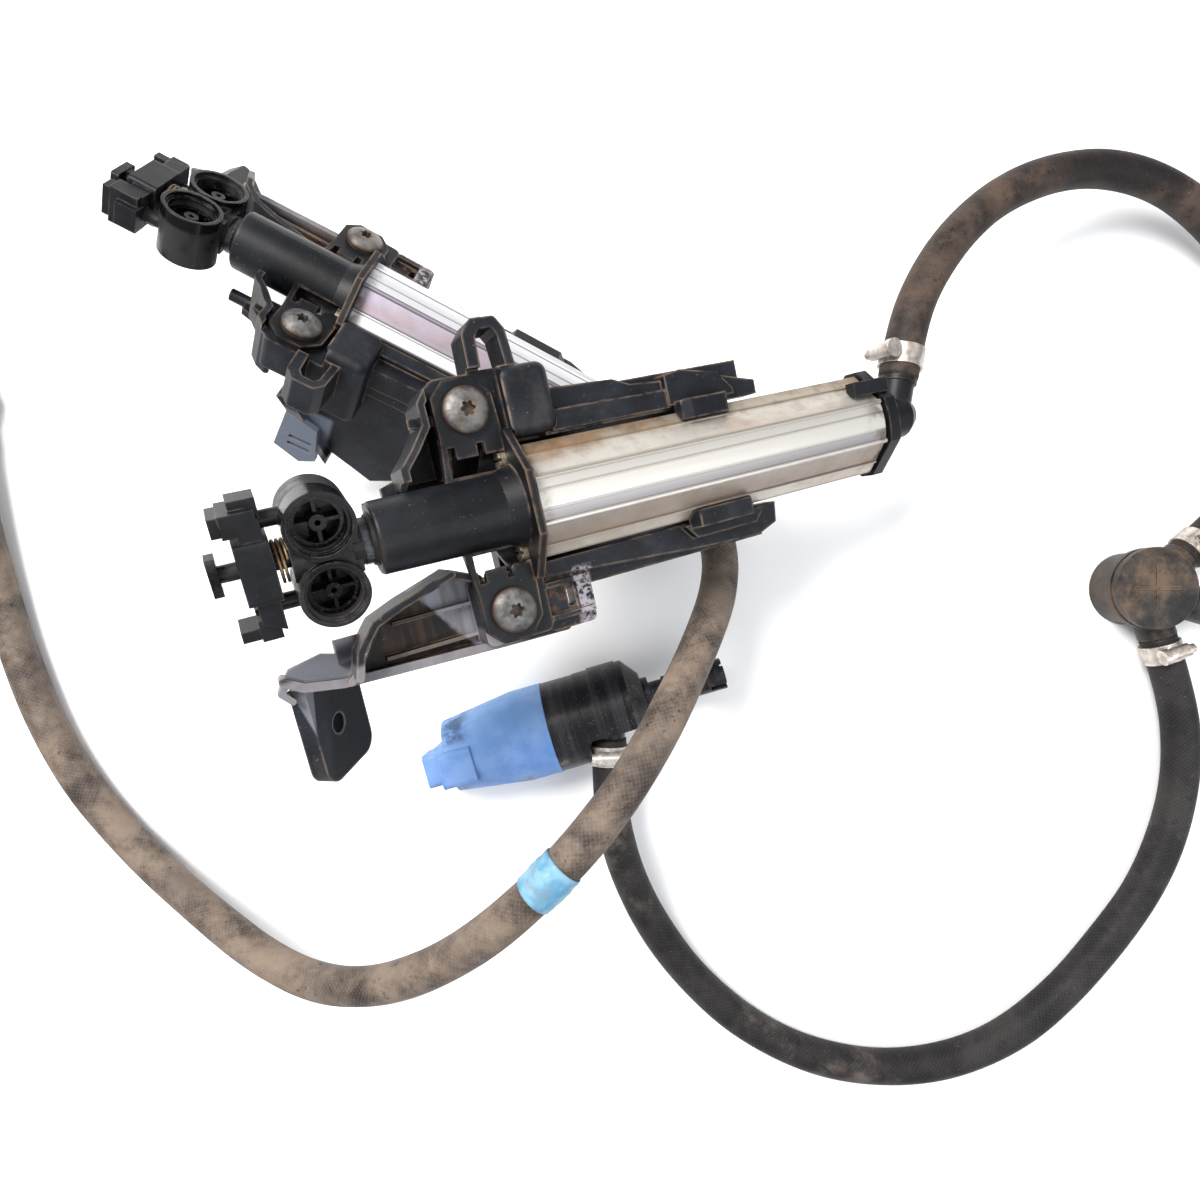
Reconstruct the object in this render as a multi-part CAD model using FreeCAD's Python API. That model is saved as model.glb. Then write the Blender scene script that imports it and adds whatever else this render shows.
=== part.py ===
"""Headlamp washer kit: two mirrored telescopic washer jets, their pump, hoses and fittings.

Each jet unit is drawn in its own frame and then laid where it rests in the kit:
  origin  centre of the front flange, on the cylinder's axis
  +X      along the cylinder, from the nozzle head to the hose end
  +Y      the side with the loop and the deep side panel
  +Z      away from the bracket's tray
The second unit is the mirror image of the first. Millimetres throughout.
"""

import FreeCAD
import Part
import math
import os

V = FreeCAD.Vector
X_AXIS = V(1, 0, 0)
Y_AXIS = V(0, 1, 0)
Z_AXIS = V(0, 0, 1)

# ---- driving dimensions: the cylinder and its piston rod ----
BODY_LENGTH = 133.0
BODY_HALF_WIDTH = 17.5
BODY_SIDE_HEIGHT = 3.0
BODY_SHOULDER_Y = 6.9
BODY_SHOULDER_Z = 13.4
BODY_CROWN_Z = 14.6
BEAD_RADIUS = 0.9
STEP_Y = 13.8
CROWN_GROOVE_Y = 2.9
BORE_RADIUS = 11.5
RUNNING_GAP = 0.05
SCREW_CHANNEL_Y = 14.3
FLANGE_THICKNESS = 2.6
SLEEVE_FRONT_X = -46.5
SLEEVE_FRONT_RADIUS = 10.8
SLEEVE_REAR_RADIUS = 11.4
ROD_RADIUS = 6.8
ROD_FRONT_X = -50.0
PISTON_REAR_X = 129.0
PISTON_LENGTH = 10.0
WATER_PASSAGE_RADIUS = 2.6

# ---- nozzle head and cover carrier ----
HEAD_X = -60.6
HEAD_ROLL_A = 20.0
HEAD_ROLL_B = 6.0
CHAMBER_RADIUS = 9.8
CHAMBER_SPACING = 20.4
CHAMBER_DEPTH = 18.0
CHAMBER_BORE_RADIUS = 7.5
CARRIER_FRONT_X = -83.5
CARRIER_REAR_X = -73.8
GUIDE_PIN_Y = 12.5
GUIDE_PIN_RADIUS = 2.5
TEE_SHAFT_RADIUS = 2.5

# ---- bracket ----
EAR_Y = 30.5
EAR_X = -11.5
EAR_TOP_Z = 0.0
EAR_PLATE = 2.6
SCREW_HEAD_RADIUS = 7.0
RAIL_END_X = 91.0
FOOT_TILT = 50.0
FOOT_THICKNESS = 6.0
FOOT_WIDTH = 27.0
FOOT_LENGTH = 32.0
FOOT_HOLE_RADIUS = 3.25

# ---- hoses, clamps and pump ----
HOSE_RADIUS = 7.3
HOSE_BORE_RADIUS = 4.8
ELBOW_X = 150.0
ELBOW_LEAN = 24.0
ELBOW_REACH = 15.0
BARB_LENGTH = 13.0
PUMP_RADIUS = 19.0
PUMP_AXIS_HEIGHT = 19.9
PUMP_ANGLE = 16.0
PUMP_OUTLET_ANGLE = -106.0
PUMP_OUTLET_START = (24.0, -4.0, 4.0)
PUMP_OUTLET_REACH = 6.8
SHAFT_RADIUS = 1.5
IMPELLER_RADIUS = 5.5
INLET_Y = 2.0
INLET_RADIUS = 4.9
SOCKET_PINS_Y = (-5.5, -0.5)

# ---- tee valve and quick connector ----
VALVE_RADIUS = 16.0
VALVE_HEIGHT = 19.0
VALVE_REACH = 22.0
PORT_HEIGHT = 11.0
HOSE_A_PORT = 38.5
HOSE_C_PORT = -71.0
FREE_PORT = -16.0
FREE_PORT_LENGTH = 34.0
FREE_PORT_RADIUS = 7.9
FREE_PORT_BORE = 6.1
PLUG_RADIUS = 6.0

# ---- where things lie, before the whole kit is centred ----
KIT_SHIFT = V(24.80, -52.74, 0)
UNIT_A_ORIGIN = V(-23.8, 29.6, 115.0)
UNIT_A_YAW, UNIT_A_PITCH, UNIT_A_ROLL = 16.3, 21.8, 9.6
UNIT_B_ORIGIN = V(-90.1, 112.9, 57.05)
UNIT_B_YAW, UNIT_B_PITCH, UNIT_B_ROLL = -24.9, 14.0, -40.3
PUMP_ORIGIN = V(-20.3, -53.9, PUMP_AXIS_HEIGHT)
VALVE_ORIGIN = V(236.0, 5.0, 0.0)

# ---- hose routes: corner points of the straight runs, from one hose end to the other ----
HOSE_A_POINTS = [
    V(112.33, 83.49, 59.15), V(115.61, 103.21, 58.96), V(123.8, 122.4, 56.8), V(137.5, 141.6, 52.2),
    V(156.1, 158.7, 46.3), V(180.5, 171.5, 39.4), V(207.5, 177.9, 32.0), V(235.8, 174.8, 25.0),
    V(261.5, 162.5, 18.0), V(281.7, 142.3, 12.5), V(294.0, 116.7, 9.0), V(297.2, 88.3, 8.0),
    V(290.9, 60.5, 9.2), V(275.13, 36.13, 11.0), V(253.22, 18.70, 11.0),
]
HOSE_B_POINTS = [
    V(44.83, 38.75, 27.89), V(48.71, 21.58, 37.38), V(46.8, 3.5, 47.5), V(39.2, -14.0, 58.0),
    V(30.0, -31.0, 69.3), V(20.0, -48.2, 79.3), V(8.6, -65.0, 87.3), V(-5.6, -82.5, 91.5),
    V(-22.6, -100.5, 90.5), V(-41.5, -118.5, 83.5), V(-62.5, -134.5, 71.5), V(-86.0, -147.0, 57.5),
    V(-111.5, -152.5, 43.5), V(-138.0, -147.6, 31.0), V(-163.0, -136.0, 20.5), V(-187.0, -121.5, 12.5),
    V(-208.5, -104.0, 8.4), V(-227.0, -83.0, 7.4), V(-242.0, -58.5, 7.4), V(-253.5, -31.0, 7.4),
    V(-262.5, -2.5, 8.2), V(-269.5, 26.5, 9.8), V(-275.0, 55.0, 11.2), V(-278.5, 81.0, 11.6),
]
HOSE_C_POINTS = [
    V(3.87, -57.93, 23.9), V(3.87, -77.93, 23.9), V(6.2, -98.0, 21.0), V(12.4, -119.5, 16.5),
    V(23.5, -142.5, 11.5), V(39.5, -165.0, 8.3), V(62.5, -186.0, 7.4), V(90.5, -200.5, 7.4),
    V(121.0, -206.5, 7.4), V(151.5, -204.0, 7.4), V(180.0, -192.5, 7.4), V(203.5, -173.0, 7.4),
    V(223.5, -149.8, 7.4), V(240.4, -126.5, 7.4), V(251.3, -99.9, 7.9), V(255.5, -71.5, 9.4),
    V(251.95, -41.33, 11.0), V(243.16, -15.80, 11.0),
]
BAND_LENGTH = 15.0
BAND_DISTANCE = 172.0

NODES = {}


# ---------------------------------------------------------------- helpers
def cylinder(start, axis, radius, length):
    return Part.makeCylinder(radius, length, start, axis)


def tube(start, axis, outer, inner, length):
    return cylinder(start, axis, outer, length).cut(cylinder(start, axis, inner, length))


def cone(start, axis, radius_1, radius_2, length):
    return Part.makeCone(radius_1, radius_2, length, start, axis)


def block(x0, x1, y0, y1, z0, z1):
    return Part.makeBox(x1 - x0, y1 - y0, z1 - z0, V(x0, y0, z0))


def fuse(shapes):
    whole = shapes[0].multiFuse(shapes[1:]) if len(shapes) > 1 else shapes[0]
    return whole.removeSplitter()


def prism_z(points, z0, z1):
    """A flat outline in XY, raised from z0 to z1."""
    corners = [V(x, y, z0) for x, y in points]
    face = Part.Face(Part.makePolygon(corners + corners[:1]))
    return face.extrude(V(0, 0, z1 - z0))


def prism_x(points, x0, x1):
    """A flat outline in YZ, drawn from x0 to x1."""
    corners = [V(x0, y, z) for y, z in points]
    face = Part.Face(Part.makePolygon(corners + corners[:1]))
    return face.extrude(V(x1 - x0, 0, 0))


def prism_y(points, y0, y1):
    """A flat outline in XZ, drawn from y0 to y1."""
    corners = [V(x, y0, z) for x, z in points]
    face = Part.Face(Part.makePolygon(corners + corners[:1]))
    return face.extrude(V(0, y1 - y0, 0))


def slab_between(start, end, thickness, z0, z1):
    """A straight upright wall from start to end in XY."""
    along = V(end[0] - start[0], end[1] - start[1], 0)
    side = V(-along.y, along.x, 0).normalize() * (thickness / 2)
    first = V(start[0], start[1], 0)
    last = V(end[0], end[1], 0)
    outline = [first + side, first - side, last - side, last + side]
    return prism_z([(p.x, p.y) for p in outline], z0, z1)


def wall_along(points, thickness, z0, z1):
    """An upright wall that follows points, with round joins."""
    pieces = [slab_between(a, b, thickness, z0, z1) for a, b in zip(points, points[1:])]
    pieces += [cylinder(V(x, y, z0), Z_AXIS, thickness / 2, z1 - z0) for x, y in points]
    return fuse(pieces)


def rounded(shape, radius, direction):
    """Round the edges that run along direction."""
    edges = []
    for edge in shape.Edges:
        if len(edge.Vertexes) == 2 and isinstance(edge.Curve, Part.Line):
            run = (edge.Vertexes[1].Point - edge.Vertexes[0].Point).normalize()
            if abs(abs(run.dot(direction)) - 1) < 1e-6:
                edges.append(edge)
    return shape.makeFillet(radius, edges)


def coil(start_x, end_x, radius, wire_radius, turns):
    """A compression spring along X."""
    length = end_x - start_x - 2 * wire_radius
    helix = Part.makeHelix(length / turns, length, radius)
    section = Part.Wire([Part.Circle(V(radius, 0, 0), Y_AXIS, wire_radius).toShape()])
    spring = Part.Wire(helix.Edges).makePipeShell([section], True, True)
    spring.rotate(V(0, 0, 0), Y_AXIS, 90)
    spring.translate(V(start_x + wire_radius, 0, 0))
    return spring


def star_socket(centre, depth):
    """A six-lobed driver socket that opens towards +Z at centre."""
    base = centre - V(0, 0, depth)
    lobes = [cylinder(base, Z_AXIS, 1.75, depth + 1)]
    for i in range(6):
        angle = math.radians(60 * i)
        offset = V(1.75 * math.cos(angle), 1.75 * math.sin(angle), 0)
        lobes.append(cylinder(base + offset, Z_AXIS, 0.6, depth + 1))
    return fuse(lobes)


# ---------------------------------------------------------------- unit: cylinder and rod
def body_face(x, grow=0.0):
    """The cylinder's section at x, the same above and below, grown all round by grow."""
    w, s = BODY_HALF_WIDTH + grow, BODY_SIDE_HEIGHT
    sy, sz, c = BODY_SHOULDER_Y + grow / 2, BODY_SHOULDER_Z + grow, BODY_CROWN_Z + grow
    edges = [
        Part.LineSegment(V(x, w, -s), V(x, w, s)),
        Part.LineSegment(V(x, w, s), V(x, sy, sz)),
        Part.Arc(V(x, sy, sz), V(x, 0, c), V(x, -sy, sz)),
        Part.LineSegment(V(x, -sy, sz), V(x, -w, s)),
        Part.LineSegment(V(x, -w, s), V(x, -w, -s)),
        Part.LineSegment(V(x, -w, -s), V(x, -sy, -sz)),
        Part.Arc(V(x, -sy, -sz), V(x, 0, -c), V(x, sy, -sz)),
        Part.LineSegment(V(x, sy, -sz), V(x, w, -s)),
    ]
    return Part.Face(Part.Wire([e.toShape() for e in edges]))


def make_cylinder_body():
    shape = body_face(0).extrude(V(BODY_LENGTH, 0, 0))
    beads = []
    for side in (-1, 1):
        centre = V(0, side * BODY_SHOULDER_Y, BODY_SHOULDER_Z)
        beads.append(cylinder(centre, X_AXIS, BEAD_RADIUS, BODY_LENGTH))
        fall = (BODY_HALF_WIDTH - STEP_Y) / (BODY_HALF_WIDTH - BODY_SHOULDER_Y)
        step_z = BODY_SIDE_HEIGHT + fall * (BODY_SHOULDER_Z - BODY_SIDE_HEIGHT)
        beads.append(cylinder(V(0, side * STEP_Y, step_z - 0.1), X_AXIS, 0.6, BODY_LENGTH))
    shape = fuse([shape] + beads)
    shape = shape.cut(cylinder(V(-1, 0, 0), X_AXIS, BORE_RADIUS, BODY_LENGTH + 2))
    for side in (-1, 1):
        groove = V(-1, side * CROWN_GROOVE_Y, BODY_CROWN_Z + 0.1)
        shape = shape.cut(cylinder(groove, X_AXIS, 0.5, BODY_LENGTH + 2))
        channel = V(-1, side * SCREW_CHANNEL_Y, 0)
        shape = shape.cut(cylinder(channel, X_AXIS, 1.5, BODY_LENGTH + 2))
    return shape


def ear_plate(side):
    """The screw ear of the guide sleeve, with its two slots."""
    outline = [(-23, 5), (-3, 5), (-2, 24), (EAR_X + 9, EAR_Y + 4), (EAR_X + 4, EAR_Y + 9.5),
               (EAR_X - 5, EAR_Y + 9.5), (EAR_X - 9.5, EAR_Y + 5), (-21, 24)]
    plate = rounded(prism_z(outline, EAR_TOP_Z, EAR_TOP_Z + EAR_PLATE), 1.2, Z_AXIS)
    for slot_x in (-18.5, -9.5):
        plate = plate.cut(block(slot_x - 1.1, slot_x + 1.1, 13.2, 20.5, -1, 4))
    plate = plate.cut(cylinder(V(EAR_X, EAR_Y, -1), Z_AXIS, 2.8, 8))
    if side < 0:
        plate = plate.mirror(V(0, 0, 0), Y_AXIS)
    return plate


def make_guide_sleeve():
    roof = [(-23, -6), (-23, 5), (-9.5, 17), (9.5, 17), (23, 5), (23, -6), (9.5, -17), (-9.5, -17)]
    flange = prism_x(roof, -FLANGE_THICKNESS, 0)
    barrel = cone(V(SLEEVE_FRONT_X, 0, 0), X_AXIS, SLEEVE_FRONT_RADIUS, SLEEVE_REAR_RADIUS,
                  -SLEEVE_FRONT_X - 1)
    front_edges = [e for e in barrel.Edges if e.BoundBox.XMax < SLEEVE_FRONT_X + 0.1]
    barrel = barrel.makeFillet(1.2, front_edges)
    root = cone(V(-9, 0, 0), X_AXIS, SLEEVE_REAR_RADIUS - 0.4, SLEEVE_REAR_RADIUS + 2, 7)
    strut = prism_z([(-14, 6), (-2, 6), (-2, 22), (-5, 24)], -6, 0)
    far_strut = strut.mirror(V(0, 0, 0), Y_AXIS)
    shape = fuse([flange, barrel, root, ear_plate(1), ear_plate(-1), strut, far_strut])
    bore = cylinder(V(-60, 0, 0), X_AXIS, ROD_RADIUS + RUNNING_GAP, 62)
    seal_seat = cylinder(V(SLEEVE_FRONT_X - 1, 0, 0), X_AXIS, 8.6, 5)
    shape = shape.cut(bore).cut(seal_seat)
    for side in (-1, 1):
        seat = V(-20, side * SCREW_CHANNEL_Y, 0)
        shape = shape.cut(cylinder(seat, X_AXIS, 3.6, 20 - FLANGE_THICKNESS))
        shape = shape.cut(cylinder(seat, X_AXIS, 1.7, 25))
    return shape


def make_rod_wiper_seal():
    ring = tube(V(SLEEVE_FRONT_X, 0, 0), X_AXIS, 8.6, ROD_RADIUS + 0.08, 4)
    lip = cone(V(SLEEVE_FRONT_X - 1.2, 0, 0), X_AXIS, ROD_RADIUS + 0.6, 8.0, 1.2)
    return fuse([ring, lip.cut(cylinder(V(-50, 0, 0), X_AXIS, ROD_RADIUS + 0.08, 10))])


def make_piston_rod():
    front = PISTON_REAR_X - PISTON_LENGTH
    rod = cylinder(V(ROD_FRONT_X, 0, 0), X_AXIS, ROD_RADIUS, front - ROD_FRONT_X + 3)
    tail = cylinder(V(front, 0, 0), X_AXIS, 4.0, PISTON_LENGTH)
    rod = fuse([rod.cut(cylinder(V(front, 0, 0), X_AXIS, 20, 10)), tail])
    spigot = cylinder(V(ROD_FRONT_X - 5, 0, 0), X_AXIS, 4.5, 5)
    rod = fuse([rod, spigot])
    for side in (-1, 1):
        flat = block(ROD_FRONT_X - 1, ROD_FRONT_X + 5.5, -8, 8, 5.4, 9)
        rod = rod.cut(flat if side > 0 else flat.mirror(V(0, 0, 0), Z_AXIS))
    return rod.cut(cylinder(V(ROD_FRONT_X - 10, 0, 0), X_AXIS, WATER_PASSAGE_RADIUS, 250))


def make_piston():
    front = PISTON_REAR_X - PISTON_LENGTH
    disc = tube(V(front, 0, 0), X_AXIS, BORE_RADIUS - RUNNING_GAP, 4.0, PISTON_LENGTH)
    return disc.cut(tube(V(front + 3.5, 0, 0), X_AXIS, 13, 9.0, 3.2))


def make_piston_seal():
    front = PISTON_REAR_X - PISTON_LENGTH + 3.6
    return tube(V(front, 0, 0), X_AXIS, BORE_RADIUS - 0.02, 9.1, 3.0)


def make_return_spring():
    return coil(2.0, PISTON_REAR_X - PISTON_LENGTH - 0.2, 9.0, 1.1, 15)


# ---------------------------------------------------------------- unit: nozzle head
def chamber_centre(side):
    return V(HEAD_X, side * CHAMBER_SPACING / 2, 0)


def make_nozzle_head():
    half = CHAMBER_DEPTH / 2
    pods = []
    for side in (-1, 1):
        base = chamber_centre(side) + V(0, 0, -half)
        pods.append(cylinder(base, Z_AXIS, CHAMBER_RADIUS, CHAMBER_DEPTH))
    web = block(HEAD_X - 5.5, HEAD_X + 7.5, -8, 8, -half + 2, half - 2)
    neck = cylinder(V(HEAD_X + 6, 0, 0), X_AXIS, 6.6, ROD_FRONT_X - HEAD_X - 6.05)
    cheek = block(HEAD_X + 6, ROD_FRONT_X - 1, -6.4, 6.4, -6, 6)
    pins = []
    for side in (-1, 1):
        pin = V(CARRIER_FRONT_X + 3.0, side * GUIDE_PIN_Y, -1.0)
        pins.append(cylinder(pin, X_AXIS, GUIDE_PIN_RADIUS, HEAD_X - CARRIER_FRONT_X - 6))
    tee = cylinder(V(CARRIER_FRONT_X - 4.5, 0, 0), X_AXIS, TEE_SHAFT_RADIUS, 25)
    bar = rounded(block(CARRIER_FRONT_X - 7, CARRIER_FRONT_X - 4.4, -5.5, 5.5, -3.5, 3.5), 1.0, X_AXIS)
    spring_seat = cylinder(V(HEAD_X - 9.1, 0, 0), X_AXIS, 7.0, 5)
    shape = fuse(pods + [web, neck, cheek, tee, bar, spring_seat] + pins)
    for side in (-1, 1):
        mouth = chamber_centre(side) + V(0, 0, half - 10)
        shape = shape.cut(cylinder(mouth, Z_AXIS, CHAMBER_BORE_RADIUS, 12))
        shape = shape.cut(cylinder(chamber_centre(side) + V(0, 0, half - 1.6), Z_AXIS, 8.5, 2))
    passage = cylinder(V(HEAD_X, 0, 0), X_AXIS, WATER_PASSAGE_RADIUS, 20)
    gallery = cylinder(V(HEAD_X, -12, -1), Y_AXIS, 2.2, 24)
    socket = cylinder(V(ROD_FRONT_X - 5.1, 0, 0), X_AXIS, 4.55, 10)
    return shape.cut(socket).cut(gallery).cut(passage)


def make_jet_inserts():
    """One four-spoked jet in each chamber."""
    inserts = []
    floor = CHAMBER_DEPTH / 2 - 10
    for side in (-1, 1):
        c = chamber_centre(side)
        ring = tube(c + V(0, 0, floor), Z_AXIS, CHAMBER_BORE_RADIUS, 6.0, 5.5)
        hub = cylinder(c + V(0, 0, floor), Z_AXIS, 2.4, 6.5)
        spokes = []
        for i in range(2):
            spoke = block(-6.4, 6.4, -0.55, 0.55, floor, floor + 5.0)
            spoke.rotate(V(0, 0, 0), Z_AXIS, 90 * i)
            spoke.translate(V(c.x, c.y, 0))
            spokes.append(spoke)
        jet = fuse([ring, hub] + spokes)
        inserts.append(jet.cut(cylinder(c + V(0, 0, floor - 1), Z_AXIS, 0.8, 12)))
    return Part.makeCompound(inserts)


def make_cover_carrier():
    """The C-shaped carrier that the painted cover clips to."""
    f, r = CARRIER_FRONT_X, CARRIER_REAR_X
    spine = prism_z([(f + 2.5, -15), (r - 1, -18), (r - 1, 15), (f + 2.5, 13)], -6, 6)
    middle = rounded(block(f + 0.5, r, -9, 9, -7.5, 7.5), 1.5, X_AXIS)
    top = block(f - 1, r - 1.5, 11, 17.5, -7, 6)
    lug = block(f + 2, r - 0.5, 14, 20, -5, 3)
    bottom = block(f + 1.5, r - 2.5, -20.5, -14, -6.5, 5)
    hooks = [block(f - 3.5, f + 1, 11.5, 17, -5.5, 5), block(f - 3.5, f + 2, -20, -16.5, -5.5, 4)]
    shape = fuse([spine, middle, top, lug, bottom] + hooks)
    for side in (-1, 1):
        start = V(f - 10, side * GUIDE_PIN_Y, -1.0)
        shape = shape.cut(cylinder(start, X_AXIS, GUIDE_PIN_RADIUS + 0.08, 40))
    shape = shape.cut(cylinder(V(f - 10, 0, 0), X_AXIS, TEE_SHAFT_RADIUS + 0.08, 40))
    return shape


def make_carrier_spring():
    return coil(CARRIER_REAR_X + 0.05, HEAD_X - 9.15, 5.9, 0.45, 2.5)


# ---------------------------------------------------------------- unit: rear cap and hose end
def elbow_direction():
    lean = math.radians(ELBOW_LEAN)
    return V(math.sin(lean), math.cos(lean), 0)


def make_cap_gasket():
    start = V(BODY_LENGTH, 0, 0)
    ring = body_face(BODY_LENGTH, -0.8).extrude(V(1.0, 0, 0)).cut(cylinder(start, X_AXIS, BORE_RADIUS, 3))
    for side in (-1, 1):
        ring = ring.cut(cylinder(V(BODY_LENGTH - 1, side * SCREW_CHANNEL_Y, 0), X_AXIS, 1.7, 4))
    return ring


def make_rear_cap():
    x0 = BODY_LENGTH + 1.0
    plate = body_face(x0, 1.4).extrude(V(4.5, 0, 0))
    dome = cone(V(x0 + 4.5, 0, 0), X_AXIS, 13.5, 9.5, 5)
    neck = cylinder(V(x0 + 9, 0, 0), X_AXIS, 8.0, ELBOW_X - x0 - 6)
    knuckle = cone(V(ELBOW_X + 3, 0, 0), X_AXIS, 8.0, 5.2, 4.2)
    direction = elbow_direction()
    stub = cylinder(V(ELBOW_X, 0, 0), direction, 6.2, ELBOW_REACH)
    collar = cylinder(V(ELBOW_X, 0, 0) + direction * (ELBOW_REACH - 2), direction, 7.0, 2)
    barb = cylinder(V(ELBOW_X, 0, 0), direction, HOSE_BORE_RADIUS, ELBOW_REACH + BARB_LENGTH)
    tab = block(x0 - 11, x0 + 4, 10, 15, 9.0, 13.5)
    tab = tab.cut(body_face(x0 - 20, 0.6).extrude(V(20, 0, 0)))
    shape = fuse([plate, dome, neck, knuckle, stub, collar, barb, tab])
    shape = shape.cut(cylinder(V(x0 - 1, 0, 0), X_AXIS, 3.0, ELBOW_X - x0 + 2.5))
    shape = shape.cut(cylinder(V(ELBOW_X, 0, 0), direction, 3.6, 60))
    for side in (-1, 1):
        seat = V(x0 - 1, side * SCREW_CHANNEL_Y, 0)
        shape = shape.cut(cylinder(seat, X_AXIS, 1.7, 8))
        shape = shape.cut(cylinder(seat + V(5.5, 0, 0), X_AXIS, 3.4, 8))
    return shape


def make_hose_clamp():
    """A worm-drive band clamp: band, screw housing and screw."""
    direction = elbow_direction()
    start = V(ELBOW_X, 0, 0) + direction * (ELBOW_REACH + 4)
    toward = V(-direction.y, direction.x, 0)
    return clamp_at(start, direction, toward, HOSE_RADIUS, 7.5)


def clamp_at(start, direction, toward, hose_radius, width):
    """A band round a hose from start along direction, with its screw housing on the toward side."""
    band = tube(start, direction, hose_radius + 0.95, hose_radius + 0.05, width)
    across = direction.cross(toward).normalize()
    middle = start + direction * (width / 2) + toward * (hose_radius + 2.6)
    housing = cylinder(middle - across * 4.5, across, 2.9, 9)
    screw_head = cylinder(middle + across * 4.5, across, 3.4, 2.6)
    screw_tip = cylinder(middle - across * 7.0, across, 1.9, 2.5)
    pad = cylinder(middle - toward * 2.2, toward, 3.4, 1.2)
    shape = fuse([band, housing, screw_head, screw_tip, pad])
    return shape.cut(cylinder(start - direction, direction, hose_radius + 0.05, width + 2))


# ---------------------------------------------------------------- unit: fasteners
def make_ear_screws():
    screws = []
    for side in (-1, 1):
        seat = V(EAR_X, side * EAR_Y, EAR_TOP_Z + EAR_PLATE)
        head = Part.makeSphere(11.0, seat + V(0, 0, 4.2 - 11.0))
        head = head.common(cylinder(seat, Z_AXIS, SCREW_HEAD_RADIUS, 6))
        shank = cylinder(seat - V(0, 0, 15), Z_AXIS, 2.4, 15.5)
        screw = fuse([head, shank])
        screws.append(screw.cut(star_socket(seat + V(0, 0, 4.2), 2.4)))
    return Part.makeCompound(screws)


def axial_screws(seat_x, inward, length):
    """Two small screws along the cylinder's side channels, heads on the seat_x face."""
    screws = []
    for side in (-1, 1):
        seat = V(seat_x, side * SCREW_CHANNEL_Y, 0)
        head = cylinder(seat - X_AXIS * (2.4 if inward > 0 else 0), X_AXIS, 3.1, 2.4)
        start = seat if inward > 0 else seat - X_AXIS * length
        shank = cylinder(start - X_AXIS * 0.4, X_AXIS, 1.42, length + 0.8)
        slot_x = seat_x - 2.5 if inward > 0 else seat_x + 1.5
        slot = block(slot_x, slot_x + 1.0, seat.y - 0.5, seat.y + 0.5, -4, 4)
        screws.append(fuse([head, shank]).cut(slot))
    return Part.makeCompound(screws)


def make_flange_screws():
    return axial_screws(-FLANGE_THICKNESS, 1, 14)


def make_cap_screws():
    return axial_screws(BODY_LENGTH + 5.5, -1, 18)


# ---------------------------------------------------------------- unit: bracket
def bracket_saddle():
    """The trough under the cylinder that joins the two rails."""
    outer = cylinder(V(2, 0, 0), X_AXIS, 22.0, RAIL_END_X - 14)
    inner = cylinder(V(1, 0, 0), X_AXIS, 19.3, RAIL_END_X)
    lower_half = block(-20, 120, -40, 40, -40, -4)
    trough = outer.cut(inner).common(lower_half)
    window = block(30, 62, -12, 12, -40, 0)
    return trough.cut(window)


def bracket_upper_side():
    """Ear boss, bulge, rail, loop and web edge on the +Y side."""
    boss = rounded(block(-21, 1, 22, 41, -13, EAR_TOP_Z - 0.02), 3.0, Z_AXIS)
    bulge = block(-1, 15.5, 19.8, 41, -20, 7)
    top_edges = [e for e in bulge.Edges if e.BoundBox.ZMax > 6.9 or e.BoundBox.ZLength > 20]
    bulge = bulge.makeFillet(3.5, top_edges)
    rail_low = block(12, RAIL_END_X - 4, 19.8, 31.5, -12, -2)
    rail_mid = prism_z([(12, 19.8), (12, 33), (38, 32), (44, 29.5), (78, 27), (RAIL_END_X, 23.5),
                        (RAIL_END_X, 18.8), (12, 18.8)], -7, 1.5)
    rail_top = prism_z([(14, 19.5), (14, 26), (56, 25.5), (56, 19.5)], 1, 3.5)
    catch = prism_z([(55, 20), (55, 30), (61, 31), (75, 28), (80, 22), (80, 20)], -2, 4.5)
    catch_lip = prism_y([(57, 3.6), (57, 8.2), (60, 9.6), (74, 9.0), (77, 3.6)], 14.6, 21.0)
    catch_lip = catch_lip.cut(body_face(0, 0.5).extrude(V(BODY_LENGTH, 0, 0)))
    loop_outline = [(-8, 38), (-7.5, 52), (-4, 56), (3.5, 56), (6, 52), (7, 38)]
    loop = rounded(prism_z(loop_outline, -10, 3), 1.6, Z_AXIS)
    loop_hole = prism_z([(-4, 41.5), (-3.5, 50.5), (-2, 52.6), (2, 52.6), (3.2, 50.5), (3.8, 41.5)], -12, 5)
    web = wall_along([(-18, 39.5), (-21, 38), (-24, 34.5), (-24, 28), (-28.5, 22), (-33, 17), (-33, 12.5)],
                     2.4, -16, 2.5)
    web_floor = prism_z([(-18, 38), (-24, 34), (-24, 28), (-33, 17), (-33, 13), (-18, 13)], -16, -13.6)
    web_root = block(-21, -18, 12, 24, -15, -1)
    return [boss, bulge, rail_low, rail_mid, rail_top, catch, catch_lip, loop.cut(loop_hole), web,
            web_floor, web_root]


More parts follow.
